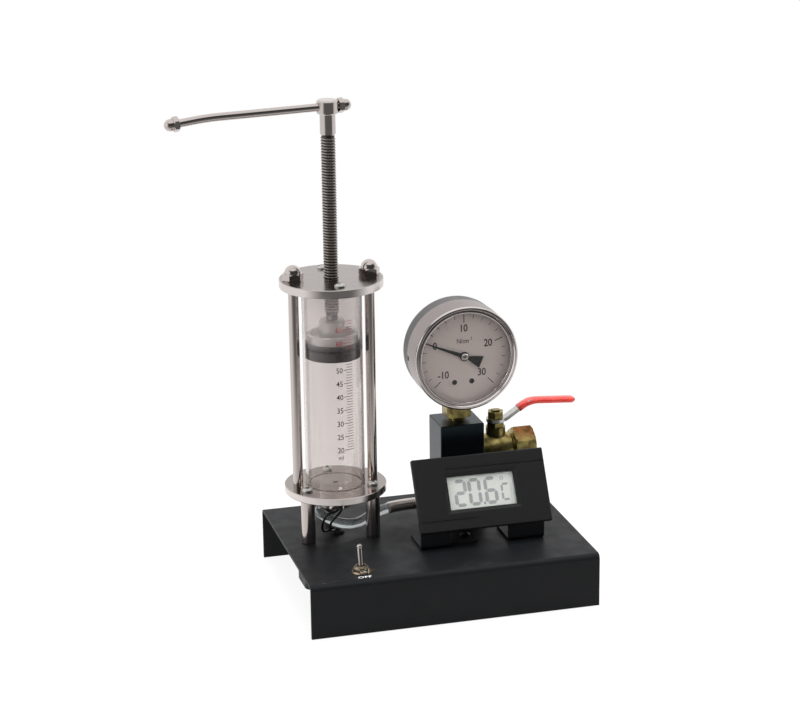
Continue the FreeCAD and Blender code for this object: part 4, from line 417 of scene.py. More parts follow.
FINISHES = {
    make_powder_coat(): ["base_channel", "thermo_bracket"],
    make_zinc_plate(): ["base_screws", "leg_screws", "plate_screws", "battery_clip", "coin_cell",
                        "lever_plate"],
    BLACK_OXIDE: ["bracket_screws", "dial_screws"],
    make_textured_plastic(): ["battery_holder", "thermo_case", "thermo_back"],
    make_rubber(): ["grommet", "piston_seal"],
    SILICONE: ["gaskets"],
    make_polished_stainless(): ["legs", "tie_rod_left", "tie_rod_right", "temperature_probe"],
    make_turned_stainless(): ["bottom_plate", "top_plate", "port_block"],
    NICKEL: ["hose_elbow", "sensor_gland", "rod_nuts", "handle_head", "tommy_bar", "bar_nuts",
             "manifold_union", "toggle_lever"],
    WARM_NICKEL: ["switch_body", "switch_nut"],
    make_clear_tube(): ["barrel"],
    make_machined_aluminium(): ["piston_body", "swivel_cap"],
    make_black_anodised(): ["manifold_block"],
    make_dull_brass(): ["gauge_socket", "pressure_tube", "gauge_movement", "valve_body", "valve_cap",
                        "gland_nut", "valve_ball", "valve_stem", "lever_nut"],
    make_case_enamel(): ["gauge_case"],
    RING_STAINLESS: ["gauge_ring"],
    GLASS: ["gauge_glass", "thermo_window"],
    make_dial_paint(): ["gauge_dial"],
    BLACK_INK: ["pointer"],
    SEAT_WHITE: ["valve_seats", "stem_packing"],
    RED_VINYL: ["lever_sleeve"],
    make_display_glass(): ["display_board"],
    OILED_THREAD: ["lead_screw"],
    INSULATION: ["sensor_lead_left", "sensor_lead_right"],
    VINYL_TUBE: ["hose"],
}
for material, nodes in FINISHES.items():
    for node in nodes:
        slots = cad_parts[node].data.materials
        slots.clear()
        slots.append(material)


# Mesh helpers

def put(name, data):
    """A new object in the scene."""
    thing = bpy.data.objects.new(name, data)
    bpy.context.scene.collection.objects.link(thing)
    return thing


def made_mesh(work, name):
    """The mesh of a finished bmesh."""
    mesh = bpy.data.meshes.new(name)
    work.to_mesh(mesh)
    work.free()
    return mesh


def mesh_piece(name, mesh, material, body):
    """An object at the origin from a finished mesh, riding on a body."""
    mesh.name = name
    piece = put(name, mesh)
    mesh.materials.clear()
    mesh.materials.append(material)
    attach(piece, body)
    return piece


def turned_mesh(outline, matrix, steps=64):
    """A closed turned mesh from an outline of radius and height in millimetres, placed by the matrix."""
    work = bmesh.new()
    ring = [work.verts.new((radius * MM, 0, height * MM)) for radius, height in outline]
    edges = [work.edges.new(pair) for pair in zip(ring, ring[1:])]
    bmesh.ops.spin(work, geom=ring + edges, cent=(0, 0, 0), axis=(0, 0, 1), angle=2 * math.pi, steps=steps)
    bmesh.ops.remove_doubles(work, verts=work.verts, dist=1e-7)
    bmesh.ops.recalc_face_normals(work, faces=work.faces)
    mesh = made_mesh(work, "turned")
    mesh.transform(matrix)
    return mesh


CAPITAL_SHARE = 0.7


def text_mesh(words, height, spacing=1.0, bold=0.0):
    """Flat lettering as a mesh, centred on the origin, with capitals of this height in millimetres."""
    curve = bpy.data.curves.new("lettering", "FONT")
    curve.body = words
    curve.size = height * MM / CAPITAL_SHARE
    curve.space_character = spacing
    curve.offset = bold * MM
    curve.resolution_u = 3
    curve.align_x = "CENTER"
    holder = bpy.data.objects.new("lettering", curve)
    mesh = bpy.data.meshes.new_from_object(holder)
    bpy.data.objects.remove(holder)
    bpy.data.curves.remove(curve)
    mesh.transform(Matrix.Translation((0, -height * MM / 2, 0)))
    return mesh


def joined(meshes):
    """One mesh from several."""
    work = bmesh.new()
    for mesh in meshes:
        work.from_mesh(mesh)
        bpy.data.meshes.remove(mesh)
    return made_mesh(work, "joined")


def laid(mesh, spot, mirrored=False):
    """Moves each point of a flat mesh to spot(x, y). If that mirrors it, its faces are turned back."""
    for vertex in mesh.vertices:
        vertex.co = spot(vertex.co.x, vertex.co.y)
    if mirrored:
        mesh.flip_normals()
    mesh.update()
    return mesh


def smooth(mesh):
    for face in mesh.polygons:
        face.use_smooth = True
    return mesh


# Geometry node trees for what repeats

def grown_mesh(tree, values, base=None):
    """The plain mesh that a tree makes with these values for its named inputs, on an optional base curve."""
    holder = put("grown", base or bpy.data.meshes.new("seed"))
    modifier = holder.modifiers.new("grow", "NODES")
    modifier.node_group = tree
    for item in tree.interface.items_tree:
        if item.in_out == "INPUT" and item.name in values:
            modifier[item.identifier] = values[item.name]
    graph = bpy.context.evaluated_depsgraph_get()
    mesh = bpy.data.meshes.new_from_object(holder.evaluated_get(graph))
    bpy.data.objects.remove(holder)
    return mesh


def open_tree(name, inputs):
    """A geometry node tree with named inputs and a geometry output, and its input sockets."""
    tree = bpy.data.node_groups.new(name, "GeometryNodeTree")
    for label, kind in inputs:
        tree.interface.new_socket(name=label, in_out="INPUT", socket_type=kind)
    tree.interface.new_socket(name="Geometry", in_out="OUTPUT", socket_type="NodeSocketGeometry")
    return tree, add(tree, "NodeGroupInput").outputs


def close_tree(tree, geometry, given):
    """Ends a tree: its instances are made real and get the finish."""
    realised = add(tree, "GeometryNodeRealizeInstances", {"Geometry": geometry})
    painted = add(tree, "GeometryNodeSetMaterial", {"Geometry": realised.outputs["Geometry"],
                                                    "Material": given["Finish"]})
    add(tree, "NodeGroupOutput", {"Geometry": painted.outputs["Geometry"]})
    return tree


FLOAT, WHOLE, FINISH = "NodeSocketFloat", "NodeSocketInt", "NodeSocketMaterial"


def make_thread_tree():
    """A right-hand thread ridge that winds up from the origin round the Z axis."""
    tree, given = open_tree("Thread ridge", [
        ("Radius", FLOAT), ("Depth", FLOAT), ("Pitch", FLOAT), ("Length", FLOAT), ("Finish", FINISH)])
    turns = add(tree, "ShaderNodeMath", {0: given["Length"], 1: given["Pitch"]}, operation="DIVIDE")
    winding = add(tree, "GeometryNodeCurveSpiral", {
        "Resolution": 28, "Rotations": turns.outputs[0], "Start Radius": given["Radius"],
        "End Radius": given["Radius"], "Height": given["Length"]})
    upright = add(tree, "GeometryNodeSetCurveNormal", {"Curve": winding.outputs["Curve"]}, mode="Z_UP")
    width = add(tree, "ShaderNodeMath", {0: given["Pitch"], 1: 0.48}, operation="MULTIPLY")
    size = add(tree, "ShaderNodeCombineXYZ", {"X": given["Depth"], "Y": width.outputs[0], "Z": 1.0})
    diamond = add(tree, "GeometryNodeCurvePrimitiveCircle", {"Resolution": 4, "Radius": 1.0})
    section = add(tree, "GeometryNodeTransform", {"Geometry": diamond.outputs["Curve"],
                                                  "Scale": size.outputs[0]})
    ridge = add(tree, "GeometryNodeCurveToMesh", {
        "Curve": upright.outputs["Curve"], "Profile Curve": section.outputs["Geometry"], "Fill Caps": True})
    return close_tree(tree, ridge.outputs["Mesh"], given)


def make_marks_tree():
    """A row of thin marks along X. Every so many of them is a long one. All end at the same line."""
    tree, given = open_tree("Row of marks", [
        ("Count", WHOLE), ("Step", FLOAT), ("Long Every", WHOLE), ("First Long", WHOLE), ("Long Size", FLOAT),
        ("Short Size", FLOAT), ("Width", FLOAT), ("Long Width", FLOAT), ("Finish", FINISH)])
    step = add(tree, "ShaderNodeCombineXYZ", {"X": given["Step"]})
    row = add(tree, "GeometryNodeMeshLine", {"Count": given["Count"], "Offset": step.outputs[0]})
    number = add(tree, "GeometryNodeInputIndex")
    shifted = add(tree, "FunctionNodeIntegerMath", {0: number.outputs[0], 1: given["First Long"]},
                  operation="SUBTRACT")
    rest = add(tree, "FunctionNodeIntegerMath", {0: shifted.outputs[0], 1: given["Long Every"]},
               operation="FLOORED_MODULO")
    is_long = add(tree, "FunctionNodeCompare", {2: rest.outputs[0], 3: 0}, data_type="INT", operation="EQUAL")
    size = add(tree, "GeometryNodeSwitch", {"Switch": is_long.outputs[0], "False": given["Short Size"],
                                            "True": given["Long Size"]}, input_type="FLOAT")
    width = add(tree, "GeometryNodeSwitch", {"Switch": is_long.outputs[0], "False": given["Width"],
                                             "True": given["Long Width"]}, input_type="FLOAT")
    scale = add(tree, "ShaderNodeCombineXYZ", {"X": width.outputs[0], "Y": size.outputs[0], "Z": 1.0})
    strip = add(tree, "GeometryNodeMeshGrid", {"Size X": 1.0, "Size Y": 1.0, "Vertices X": 2,
                                               "Vertices Y": 6})
    hung = add(tree, "GeometryNodeTransform", {"Geometry": strip.outputs["Mesh"],
                                               "Translation": (0, -0.5, 0)})
    marks = add(tree, "GeometryNodeInstanceOnPoints", {
        "Points": row.outputs["Mesh"], "Instance": hung.outputs["Geometry"], "Scale": scale.outputs[0]})
    return close_tree(tree, marks.outputs["Instances"], given)


def make_coil_tree():
    """Close rings of wire along a route, as a spring wound round a hose shows from outside."""
    tree, given = open_tree("Spring over hose", [
        ("Geometry", "NodeSocketGeometry"), ("Radius", FLOAT), ("Wire", FLOAT), ("Pitch", FLOAT),
        ("Finish", FINISH)])
    even = add(tree, "GeometryNodeResampleCurve", {"Curve": given["Geometry"], "Length": given["Pitch"]},
               mode="LENGTH")
    tangent = add(tree, "GeometryNodeInputTangent")
    turn = add(tree, "FunctionNodeAlignRotationToVector", {"Vector": tangent.outputs[0]}, axis="Z")
    loop = add(tree, "GeometryNodeCurvePrimitiveCircle", {"Resolution": 28, "Radius": given["Radius"]})
    wire = add(tree, "GeometryNodeCurvePrimitiveCircle", {"Resolution": 6, "Radius": given["Wire"]})
    ring = add(tree, "GeometryNodeCurveToMesh", {"Curve": loop.outputs["Curve"],
                                                 "Profile Curve": wire.outputs["Curve"]})
    rings = add(tree, "GeometryNodeInstanceOnPoints", {
        "Points": even.outputs["Curve"], "Instance": ring.outputs["Mesh"], "Rotation": turn.outputs[0]})
    return close_tree(tree, rings.outputs["Instances"], given)


THREAD_TREE = make_thread_tree()
MARKS_TREE = make_marks_tree()
COIL_TREE = make_coil_tree()


def thread_mesh(radius, depth, pitch, length, matrix, finish):
    """A thread ridge in millimetres, set in place by the matrix."""
    mesh = grown_mesh(THREAD_TREE, {"Radius": radius * MM, "Depth": depth * MM, "Pitch": pitch * MM,
                                    "Length": length * MM, "Finish": finish})
    mesh.transform(matrix)
    return mesh


# Cords

def spline_curve(name, kind, spots):
    """A curve with one spline of this kind, which has the spots as its points."""
    curve = bpy.data.curves.new(name, "CURVE")
    curve.dimensions = "3D"
    spline = curve.splines.new(kind)
    spline.points.add(len(spots) - 1)
    for point, spot in zip(spline.points, spots):
        point.co = (*spot, 1)
    if kind == "NURBS":
        spline.order_u = 3
        spline.use_endpoint_u = True
        spline.resolution_u = 12
    return curve


def cord_curve(name, route, diameter, material):
    """A smooth round cord whose spline has the route's points as its control points."""
    curve = spline_curve(name, "NURBS", [place(*spot) for spot in route])
    curve.bevel_depth = diameter * MM / 2
    curve.bevel_resolution = 6
    curve.use_fill_caps = True
    curve.materials.append(material)
    piece = put(name, curve)
    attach(piece, "stand")
    return piece


def drawn_line(route):
    """The points of the smooth line that a route's spline draws, and its length in metres."""
    curve = spline_curve("measured", "NURBS", [place(*spot) for spot in route])
    holder = bpy.data.objects.new("measured", curve)
    mesh = bpy.data.meshes.new_from_object(holder)
    bpy.data.objects.remove(holder)
    line = [vertex.co.copy() for vertex in mesh.vertices]
    return line, sum((b - a).length for a, b in zip(line, line[1:]))


def make_hose():
    """The clear hose and the spring that guards its right half."""
    line, length = drawn_line(HOSE_ROUTE)
    hose = cord_curve("clear_hose", HOSE_ROUTE, HOSE_DIAMETER, VINYL_TUBE)
    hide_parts("hose")
    guarded = [spot for spot in line if spot.x > place(SPRING_START, 0, 0).x]
    mesh = grown_mesh(COIL_TREE, {"Radius": 2.75 * MM, "Wire": 0.5 * MM, "Pitch": 1.05 * MM,
                                  "Finish": SPRING_WIRE}, spline_curve("guarded", "POLY", guarded))
    spring = mesh_piece("hose_spring", smooth(mesh), SPRING_WIRE, "stand")


def make_lead(name, route, node):
    length = drawn_line(route)[1]
    lead = cord_curve(name, route, LEAD_DIAMETER, INSULATION)
    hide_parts(node)


make_hose()
make_lead("left_lead", LEFT_LEAD_ROUTE, "sensor_lead_left")
make_lead("right_lead", RIGHT_LEAD_ROUTE, "sensor_lead_right")


# Lead screw with its thread

def make_spindle():
    """The screw: a button end under the cap, a neck, the thread, and a plain end in the head."""
    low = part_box("lead_screw")[0][2]
    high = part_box("lead_screw")[1][2]
    button_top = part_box("swivel_cap")[0][2] - 0.06 * MM
    thread_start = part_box("swivel_cap")[1][2] + 4.1 * MM
    thread_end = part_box("handle_head")[0][2]
    foot = Matrix.Translation((COLUMN.x, COLUMN.y, low))
    button, first, last, top = [(spot - low) / MM for spot in (button_top, thread_start, thread_end, high)]
    wide, neck, root, edge, pitch = 4.5, 3.0, 3.45, 0.3, 1.5
    core = turned_mesh([(0, 0), (wide - edge, 0), (wide, edge), (wide, button - edge), (wide - edge, button),
                        (neck, button), (neck, first - 1.2), (root, first - 0.6), (root, last), (neck, last),
                        (neck, top), (0, top)], foot, 48)
    start = Matrix.Translation((COLUMN.x, COLUMN.y, thread_start + 0.7 * MM))
    ridge = thread_mesh(3.42, 0.56, pitch, last - first - pitch, start, OILED_THREAD)
    spindle = mesh_piece("threaded_spindle", joined([core, ridge]), OILED_THREAD, "screw")
    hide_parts("lead_screw")


make_spindle()


# Barrel scale

def on_barrel(x, height):
    """A point just outside the barrel: x runs round it from the front, to the right, and height is up."""
    reach = BARREL_RADIUS + INK_LIFT
    angle = x / reach
    return Vector((COLUMN.x + reach * math.sin(angle), COLUMN.y - reach * math.cos(angle), height))


def scale_marks(first, last, finish):
    """The marks from one millilitre reading to another, long at every fifth, all ending at the right."""
    mesh = grown_mesh(MARKS_TREE, {
        "Count": last - first + 1, "Step": SCALE_STEP, "Long Every": 5, "First Long": -first % 5,
        "Long Size": 5.3 * MM, "Short Size": 3.6 * MM, "Width": 0.28 * MM, "Long Width": 0.32 * MM,
        "Finish": finish})
    low = SCALE_ZERO + first * SCALE_STEP
    return laid(mesh, lambda x, y: on_barrel(SCALE_RIGHT + y, low + x), mirrored=True)


def scale_label(words, reading, size=2.9):
    mesh = text_mesh(words, size, 1.0, 0.03)
    height = SCALE_ZERO + reading * SCALE_STEP
    return laid(mesh, lambda x, y: on_barrel(SCALE_LABEL + x * 0.88, height + y))


def make_barrel_scale():
    """The printed scale: black up to 57 ml, and red above."""
    black = [scale_marks(20, 57, BLACK_INK)]
    black += [scale_label(str(reading), reading) for reading in range(20, 60, 5)]
    black.append(scale_label("ml", 17.2, 2.2))
    red = [scale_marks(58, 68, RED_INK)]
    red += [scale_label(str(reading), reading) for reading in (60, 65)]
    for name, meshes, ink in (("scale_print_black", black, BLACK_INK), ("scale_print_red", red, RED_INK)):
        piece = mesh_piece(name, joined(meshes), ink, "stand")


make_barrel_scale()


# Gauge dial

def on_dial(x, z):
    """A point just in front of the dial, in millimetres right and up from its centre."""
    return Vector((GAUGE.x + x * MM, DIAL_FRONT - DIAL_INK_LIFT, GAUGE.z + z * MM))


def dial_marks(first_angle, step, count):
    """Marks round the dial from one angle onwards, clockwise, in degrees. Every fifth one is long."""
    outer = 23.2
    spread = 3.0
    mesh = grown_mesh(MARKS_TREE, {
        "Count": count, "Step": 1.0, "Long Every": 5, "First Long": 0, "Long Size": 4.6, "Short Size": 2.0,
        "Width": 0.3 / spread, "Long Width": 0.48 / spread, "Finish": BLACK_INK})

    def spot(x, y):
        index = round(x)
        angle = math.radians(first_angle - index * step)
        across = (x - index) * spread
        radius = outer + y
        return on_dial(radius * math.cos(angle) + across * math.sin(angle),
                       radius * math.sin(angle) - across * math.cos(angle))

    return laid(mesh, spot)


def dial_words(words, x, z, size, bold=0.09):
    mesh = text_mesh(words, size, 0.95, bold)
    return laid(mesh, lambda u, v: on_dial(x + u * 0.86 / MM, z + v / MM))


def make_dial_print():
    """The dial's marks, its numbers and its unit of force over area."""
    meshes = [dial_marks(225.0, 13.5, 21)]
    for words, x, z in (("10", -0.3, 15.7), ("20", 13.4, 6.5), ("30", 9.8, -9.5), ("-10", -11.6, -9.6),
                        ("0", -16.2, 7.0)):
        meshes.append(dial_words(words, x, z, 4.0))
    meshes.append(dial_words("N/cm", -0.7, 8.6, 2.6, 0.04))
    meshes.append(dial_words("2", 4.1, 9.7, 1.5, 0.03))
    piece = mesh_piece("dial_print", joined(meshes), BLACK_INK, "stand")


make_dial_print()


def gauge_turned(name, outline, front, material, body):
    """A piece turned about the gauge's axis. Its outline gives radius and depth behind the front, in mm."""
    turn = Matrix.Translation((GAUGE.x, front, GAUGE.z)) @ Matrix.Rotation(-math.pi / 2, 4, "X")
    piece = mesh_piece(name, smooth(turned_mesh(outline, turn, 96)), material, body)


def make_gauge_rings():
    """The spring ring that holds the glass in, and the bright cap on the pointer's hub."""
    glass_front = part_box("gauge_glass")[0][1]
    gauge_turned("glass_ring", [(24.8, -0.02), (24.8, -0.5), (25.1, -0.8), (25.9, -0.8), (26.2, -0.5),
                                (26.2, -0.02), (24.8, -0.02)], glass_front, RING_STAINLESS, "stand")
    hub_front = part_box("pointer")[0][1]
    gauge_turned("hub_cap", [(0, -0.3), (1.2, -0.28), (1.9, -0.12), (2.0, -0.02), (0, -0.02)], hub_front,
                 NICKEL, "gauge_pointer")
    gauge_turned("hub_dot", [(0, -0.34), (0.5, -0.34), (0.5, -0.3), (0, -0.3)], hub_front, BLACK_INK,
                 "gauge_pointer")


make_gauge_rings()


# Valve lever's sleeve

# The lever's middle line as right and up, its place front to back, and the sleeve's half sizes, the length of
# its round tip and the reach of its bend, in millimetres
LEVER_PATH = [(136.32, 87.48), (142.55, 91.6), (169.24, 89.73)]
LEVER_Y = 78.2
SLEEVE_HALF_WIDTH = 3.45
SLEEVE_HALF_DEPTH = 1.75
SLEEVE_TIP = 3.0
SLEEVE_BEND = 5.2


def rounded_line(points, reach, steps):
    """Points along two runs whose corner is rounded off over this reach on either side, in millimetres."""
    first, corner, last = (Vector(point) for point in points)
    enter = corner + (first - corner).normalized() * reach
    leave = corner + (last - corner).normalized() * reach
    bend = []
    for step in range(steps + 1):
        t = step / steps
        bend.append(enter * (1 - t) ** 2 + corner * 2 * t * (1 - t) + leave * t ** 2)
    return [first] + bend + [leave.lerp(last, t / steps) for t in range(1, steps + 1)]


def make_dipped_sleeve():
    """The soft sleeve on the lever's grip: an oval swept along the bend and rounded off at its tip."""
    line = rounded_line(LEVER_PATH, SLEEVE_BEND, 14)
    sides = 28
    tip_steps = 12
    stations = []
    length = 0.0
    total = sum((b - a).length for a, b in zip(line, line[1:]))
    for index, spot in enumerate(line):
        if index:
            length += (spot - line[index - 1]).length
        if total - length > SLEEVE_TIP:
            stations.append((spot, 1.0))
    direction = (line[-1] - line[-2]).normalized()
    neck = line[-1] - direction * SLEEVE_TIP
    for step in range(tip_steps + 1):
        angle = math.pi / 2 * step / tip_steps
        stations.append((neck + direction * SLEEVE_TIP * math.sin(angle), max(math.cos(angle), 0.03)))
    work = bmesh.new()
    rings = []
    for index, (spot, scale) in enumerate(stations):
        before = stations[max(index - 1, 0)][0]
        after = stations[min(index + 1, len(stations) - 1)][0]
        along = (after - before).normalized()
        ring = []
        for step in range(sides):
            angle = 2 * math.pi * step / sides
            across = SLEEVE_HALF_WIDTH * scale * math.copysign(abs(math.cos(angle)) ** 0.75, math.cos(angle))
            rise = SLEEVE_HALF_DEPTH * scale * math.copysign(abs(math.sin(angle)) ** 0.85, math.sin(angle))
            ring.append(work.verts.new(place(spot.x - along.y * rise, LEVER_Y + across,
                                             spot.y + along.x * rise)))
        rings.append(ring)
    for first, second in zip(rings, rings[1:]):
        for a, b, c, d in zip(first, first[1:] + first[:1], second[1:] + second[:1], second):
            work.faces.new((a, b, c, d))
    work.faces.new(rings[0])
    work.faces.new(rings[-1])
    bmesh.ops.recalc_face_normals(work, faces=work.faces)
    sleeve = mesh_piece("dipped_sleeve", smooth(made_mesh(work, "sleeve")), RED_VINYL, "valve_handle")
    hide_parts("lever_sleeve")


make_dipped_sleeve()


# Thermometer display

THERMO_TILT = math.radians(29.4)
THERMO_CORNER = place(67.2, 29.1, 39.5)
DIGIT_DEPTH = 3.40


def on_thermometer(u, v, depth):
    """A point on the thermometer: right and up its front from the lower left corner, and into it, in mm."""
    return THERMO_CORNER + Vector((
        u, v * math.sin(THERMO_TILT) + depth * math.cos(THERMO_TILT),
        v * math.cos(THERMO_TILT) - depth * math.sin(THERMO_TILT))) * MM


# The lit bars of each shown character: a is the top bar, b to f follow clockwise, and g is the middle one
SEGMENTS = {"0": "abcdef", "2": "abged", "6": "afgedc", "C": "afed"}


def digit_segments(letters, left, low, width, height, thick):
    """The lit bars of a seven segment digit, as flat shapes with pointed ends, in mm on the front."""
    half = thick / 2
    gap = 0.22
    right = left + width
    centre = low + height / 2
    high = low + height
    ends = {
        "a": ((left, high), (right, high)), "g": ((left, centre), (right, centre)),
        "d": ((left, low), (right, low)), "f": ((left, centre), (left, high)),
        "b": ((right, centre), (right, high)), "e": ((left, low), (left, centre)),
        "c": ((right, low), (right, centre)),
    }
    shapes = []
    for letter in letters:
        (x0, y0), (x1, y1) = ends[letter]
        if y0 == y1:
            shapes.append([(x0 + gap, y0), (x0 + gap + half, y0 + half), (x1 - gap - half, y1 + half),
                           (x1 - gap, y1), (x1 - gap - half, y1 - half), (x0 + gap + half, y0 - half)])
        else:
            shapes.append([(x0, y0 + gap), (x0 + half, y0 + gap + half), (x1 + half, y1 - gap - half),
                           (x1, y1 - gap), (x1 - half, y1 - gap - half), (x0 - half, y0 + gap + half)])
    return shapes


def make_display_digits():
    """The reading: three digits, a point, the letter C and the small ring of the degree sign."""
    shapes = []
    for digit, left in (("2", 22.6), ("0", 30.5), ("6", 39.5)):
        shapes += digit_segments(SEGMENTS[digit], left, low=13.5, width=5.4, height=13.0, thick=1.9)
    shapes += digit_segments(SEGMENTS["C"], 48.4, low=14.3, width=3.9, height=8.4, thick=1.2)
    shapes.append([(37.2, 12.8), (38.6, 12.8), (38.6, 14.2), (37.2, 14.2)])
    degree_u, degree_v, inner, outer = 48.9, 26.0, 0.62, 1.0
    turns = [2 * math.pi * step / 20 for step in range(20)]
    work = bmesh.new()

    def corner(u, v):
        return work.verts.new(on_thermometer(u, v, DIGIT_DEPTH))

    for shape in shapes:
        work.faces.new([corner(u, v) for u, v in shape])
    ring = [[corner(degree_u + radius * math.cos(turn), degree_v + radius * math.sin(turn))
             for radius in (inner, outer)] for turn in turns]
    for (a, b), (c, d) in zip(ring, ring[1:] + ring[:1]):
        work.faces.new((a, b, d, c))
    for face in work.faces:
        face.normal_update()
        if face.normal.y > 0:
            face.normal_flip()
    piece = mesh_piece("display_digits", made_mesh(work, "digits"), SEGMENT_GREY, "stand")


make_display_digits()


# Switch legend and bushing thread

SWITCH_AXIS = (29.8, 12.8)


def make_switch_legend():
    """The word in front of the switch, a little wider than the font draws it."""
    mesh = text_mesh("OFF", 2.4, 1.1, 0.03)
    laid(mesh, lambda x, y: place(30.1, 5.7, 0) + Vector((x * 1.15, y, BASE_TOP - CORNER.z + INK_LIFT)))
    piece = mesh_piece("switch_legend", mesh, WHITE_INK, "stand")


make_switch_legend()


def make_bushing_thread():
    """The fine thread that shows on the switch's bushing above its nut."""
    foot = place(*SWITCH_AXIS, 0)
    foot.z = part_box("switch_nut")[1][2] + 0.25 * MM
    mesh = thread_mesh(2.9, 0.2, 0.5, 0.9, Matrix.Translation(foot), WARM_NICKEL)
    piece = mesh_piece("bushing_thread", mesh, WARM_NICKEL, "stand")


make_bushing_thread()


# Floor, light and camera

def make_floor():
    # Seamless white paper sweep: matt, and plain white to the camera apart from the object's shadow
    material = bpy.data.materials.new("white paper sweep")
    material.use_nodes = True
    tree = material.node_tree
    tree.nodes.clear()
    grain = object_noise(tree, 30.0, 2)
    tone = add(tree, "ShaderNodeMixRGB", {"Fac": grain, "Color1": linear("F2F2F2"),
                                          "Color2": linear("F6F6F6")})
    paper = add(tree, "ShaderNodeBsdfDiffuse", {"Color": tone.outputs["Color"]})
    coords = add(tree, "ShaderNodeTexCoord").outputs["Object"]
    rays = add(tree, "ShaderNodeLightPath").outputs
    seen = add(tree, "ShaderNodeMath", {0: rays["Is Camera Ray"], 1: rays["Is Glossy Ray"]},
               operation="MAXIMUM")
    through = add(tree, "ShaderNodeMath", {0: seen.outputs[0], 1: rays["Is Transmission Ray"]},
                  operation="MAXIMUM")

    # What metal reflects of the paper is white behind the object and darker in front of it
    spot = add(tree, "ShaderNodeSeparateXYZ", {0: coords})
    aside = add(tree, "ShaderNodeMath", {0: spot.outputs["X"]}, operation="ABSOLUTE")
    depth = add(tree, "ShaderNodeMath", {0: aside.outputs[0], 1: 0.6, 2: spot.outputs["Y"]},
                operation="MULTIPLY_ADD")
    fade = add(tree, "ShaderNodeMapRange", {"Value": depth.outputs[0], "From Min": -0.34, "From Max": 0.2,
                                            "To Min": 0.14, "To Max": 0.9})
    shown = add(tree, "ShaderNodeMixRGB", {0: rays["Is Glossy Ray"], 1: (1, 1, 1, 1), 2: fade.outputs[0]})
    glow = add(tree, "ShaderNodeEmission", {"Color": (1, 1, 1, 1), "Strength": shown.outputs["Color"]})

    # Round the object the paper keeps some of its own shade, so that the shadow shows, and farther off none
    away = add(tree, "ShaderNodeVectorMath", {0: coords}, operation="LENGTH")
    plain = add(tree, "ShaderNodeMapRange", {"Value": away.outputs["Value"], "From Min": 0.15,
                                             "From Max": 0.45, "To Min": 0.86, "To Max": 1.0})
    share = add(tree, "ShaderNodeMath", {0: through.outputs[0], 1: plain.outputs[0]}, operation="MULTIPLY")
    mix = add(tree, "ShaderNodeMixShader", {0: share.outputs[0], 1: paper.outputs[0], 2: glow.outputs[0]})
    add(tree, "ShaderNodeOutputMaterial", {"Surface": mix.outputs[0]})

    work = bmesh.new()
    bmesh.ops.create_grid(work, x_segments=1, y_segments=1, size=4.0)
    mesh = made_mesh(work, "floor")
    mesh.materials.append(material)
    floor = put("floor", mesh)
    floor.location = (0, 0, cad_box[0][2] - 0.2 * MM)


make_floor()


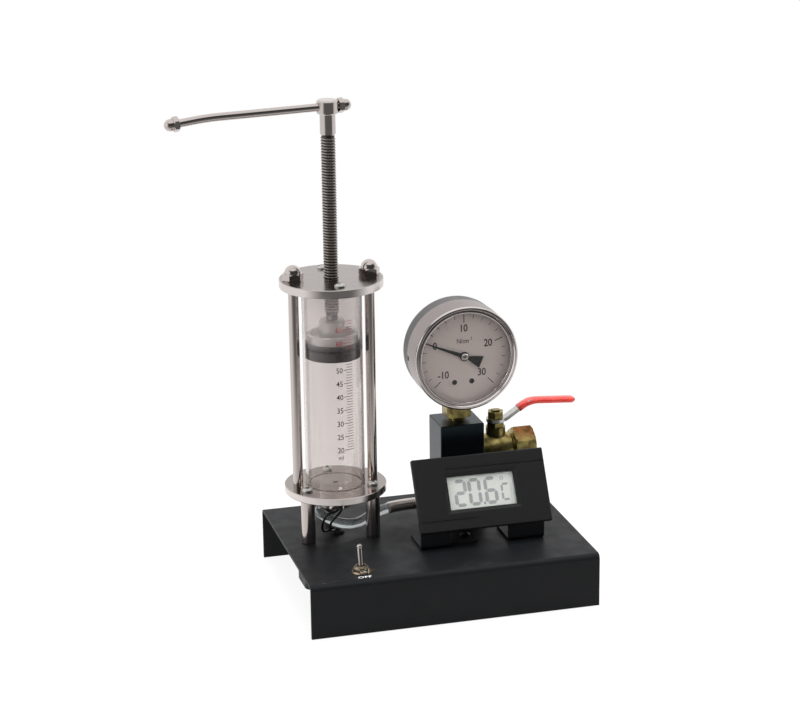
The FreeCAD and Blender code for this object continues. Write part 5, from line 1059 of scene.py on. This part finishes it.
def make_light_tent():
    """A world that is white behind, overhead and at the far left, and dark on the camera's side."""
    world = bpy.data.worlds.new("light tent")
    bpy.context.scene.world = world
    world.use_nodes = True
    tree = world.node_tree
    tree.nodes.clear()
    axes = add(tree, "ShaderNodeSeparateXYZ", {0: add(tree, "ShaderNodeTexCoord").outputs["Generated"]})
    depth = add(tree, "ShaderNodeMapRange", {"Value": axes.outputs["Y"], "From Min": -0.45, "From Max": 0.15,
                                             "To Min": 0.06, "To Max": 1.0})
    side = add(tree, "ShaderNodeMapRange", {"Value": axes.outputs["X"], "From Min": -0.6, "From Max": -0.85,
                                            "To Min": 0.0, "To Max": 1.0})
    over = add(tree, "ShaderNodeMapRange", {"Value": axes.outputs["Z"], "From Min": 0.64, "From Max": 0.74,
                                            "To Min": 0.0, "To Max": 1.0})
    lit = add(tree, "ShaderNodeMath", {0: depth.outputs[0], 1: side.outputs[0]}, operation="MAXIMUM")
    lit = add(tree, "ShaderNodeMath", {0: lit.outputs[0], 1: over.outputs[0]}, operation="MAXIMUM")
    rays = add(tree, "ShaderNodeLightPath").outputs
    level = add(tree, "ShaderNodeMapRange", {"Value": rays["Is Diffuse Ray"], "To Min": 1.0, "To Max": 0.75})
    strength = add(tree, "ShaderNodeMath", {0: lit.outputs[0], 1: level.outputs[0]}, operation="MULTIPLY")
    seen = add(tree, "ShaderNodeMath", {0: rays["Is Camera Ray"], 1: rays["Is Transmission Ray"]},
               operation="MAXIMUM")
    shown = add(tree, "ShaderNodeMath", {0: strength.outputs[0], 1: seen.outputs[0]}, operation="MAXIMUM")
    sky = add(tree, "ShaderNodeBackground", {"Color": (1, 1, 1, 1), "Strength": shown.outputs[0]})
    add(tree, "ShaderNodeOutputWorld", {"Surface": sky.outputs[0]})


make_light_tent()


def make_softbox(name, spot, aim, size, power):
    """A rectangular lamp aimed at a point, in metres and watts, that shows in no reflection."""
    lamp = bpy.data.lights.new(name, "AREA")
    lamp.shape = "RECTANGLE"
    lamp.size, lamp.size_y = size
    lamp.energy = power
    holder = put(name, lamp)
    holder.visible_glossy = False
    holder.location = spot
    holder.rotation_mode = "QUATERNION"
    holder.rotation_quaternion = (Vector(aim) - Vector(spot)).to_track_quat("-Z", "Y")


make_softbox("left softbox", (-0.9, -0.35, 0.75), (0, 0, 0.12), (0.5, 0.8), 9.0)
make_softbox("top softbox", (0.1, 0.15, 1.1), (0, 0, 0.1), (0.9, 0.6), 16.0)
make_softbox("right softbox", (0.9, -0.6, 0.5), (0, 0, 0.12), (0.3, 0.6), 3.0)


# The photograph's width and the fitted focal length in pixels, and the camera's fitted place in millimetres
PHOTO_WIDTH = 800
FOCAL_LENGTH = 2302.478
CAMERA_PLACE = (-236.422, -1065.883, 482.521)


def make_camera():
    """The photograph's view: the place and turn found by fitting the base, plates and gauge to it."""
    yaw, pitch, roll = math.radians(14.984), math.radians(16.776), math.radians(-0.769)
    forward = Vector((math.sin(yaw) * math.cos(pitch), math.cos(yaw) * math.cos(pitch), -math.sin(pitch)))
    level_right = Vector((math.cos(yaw), -math.sin(yaw), 0))
    level_up = level_right.cross(forward)
    right = math.cos(roll) * level_right + math.sin(roll) * level_up
    up = math.cos(roll) * level_up - math.sin(roll) * level_right
    data = bpy.data.cameras.new("camera")
    data.sensor_fit = "HORIZONTAL"
    data.sensor_width = 36
    data.lens = data.sensor_width * FOCAL_LENGTH / PHOTO_WIDTH
    data.clip_start = 0.01
    data.clip_end = 50
    camera = put("camera", data)
    turn = Matrix((right, up, -forward)).transposed().to_4x4()
    camera.matrix_world = Matrix.Translation(place(*CAMERA_PLACE)) @ turn
    bpy.context.scene.camera = camera


make_camera()
bpy.context.scene.view_settings.view_transform = "Standard"
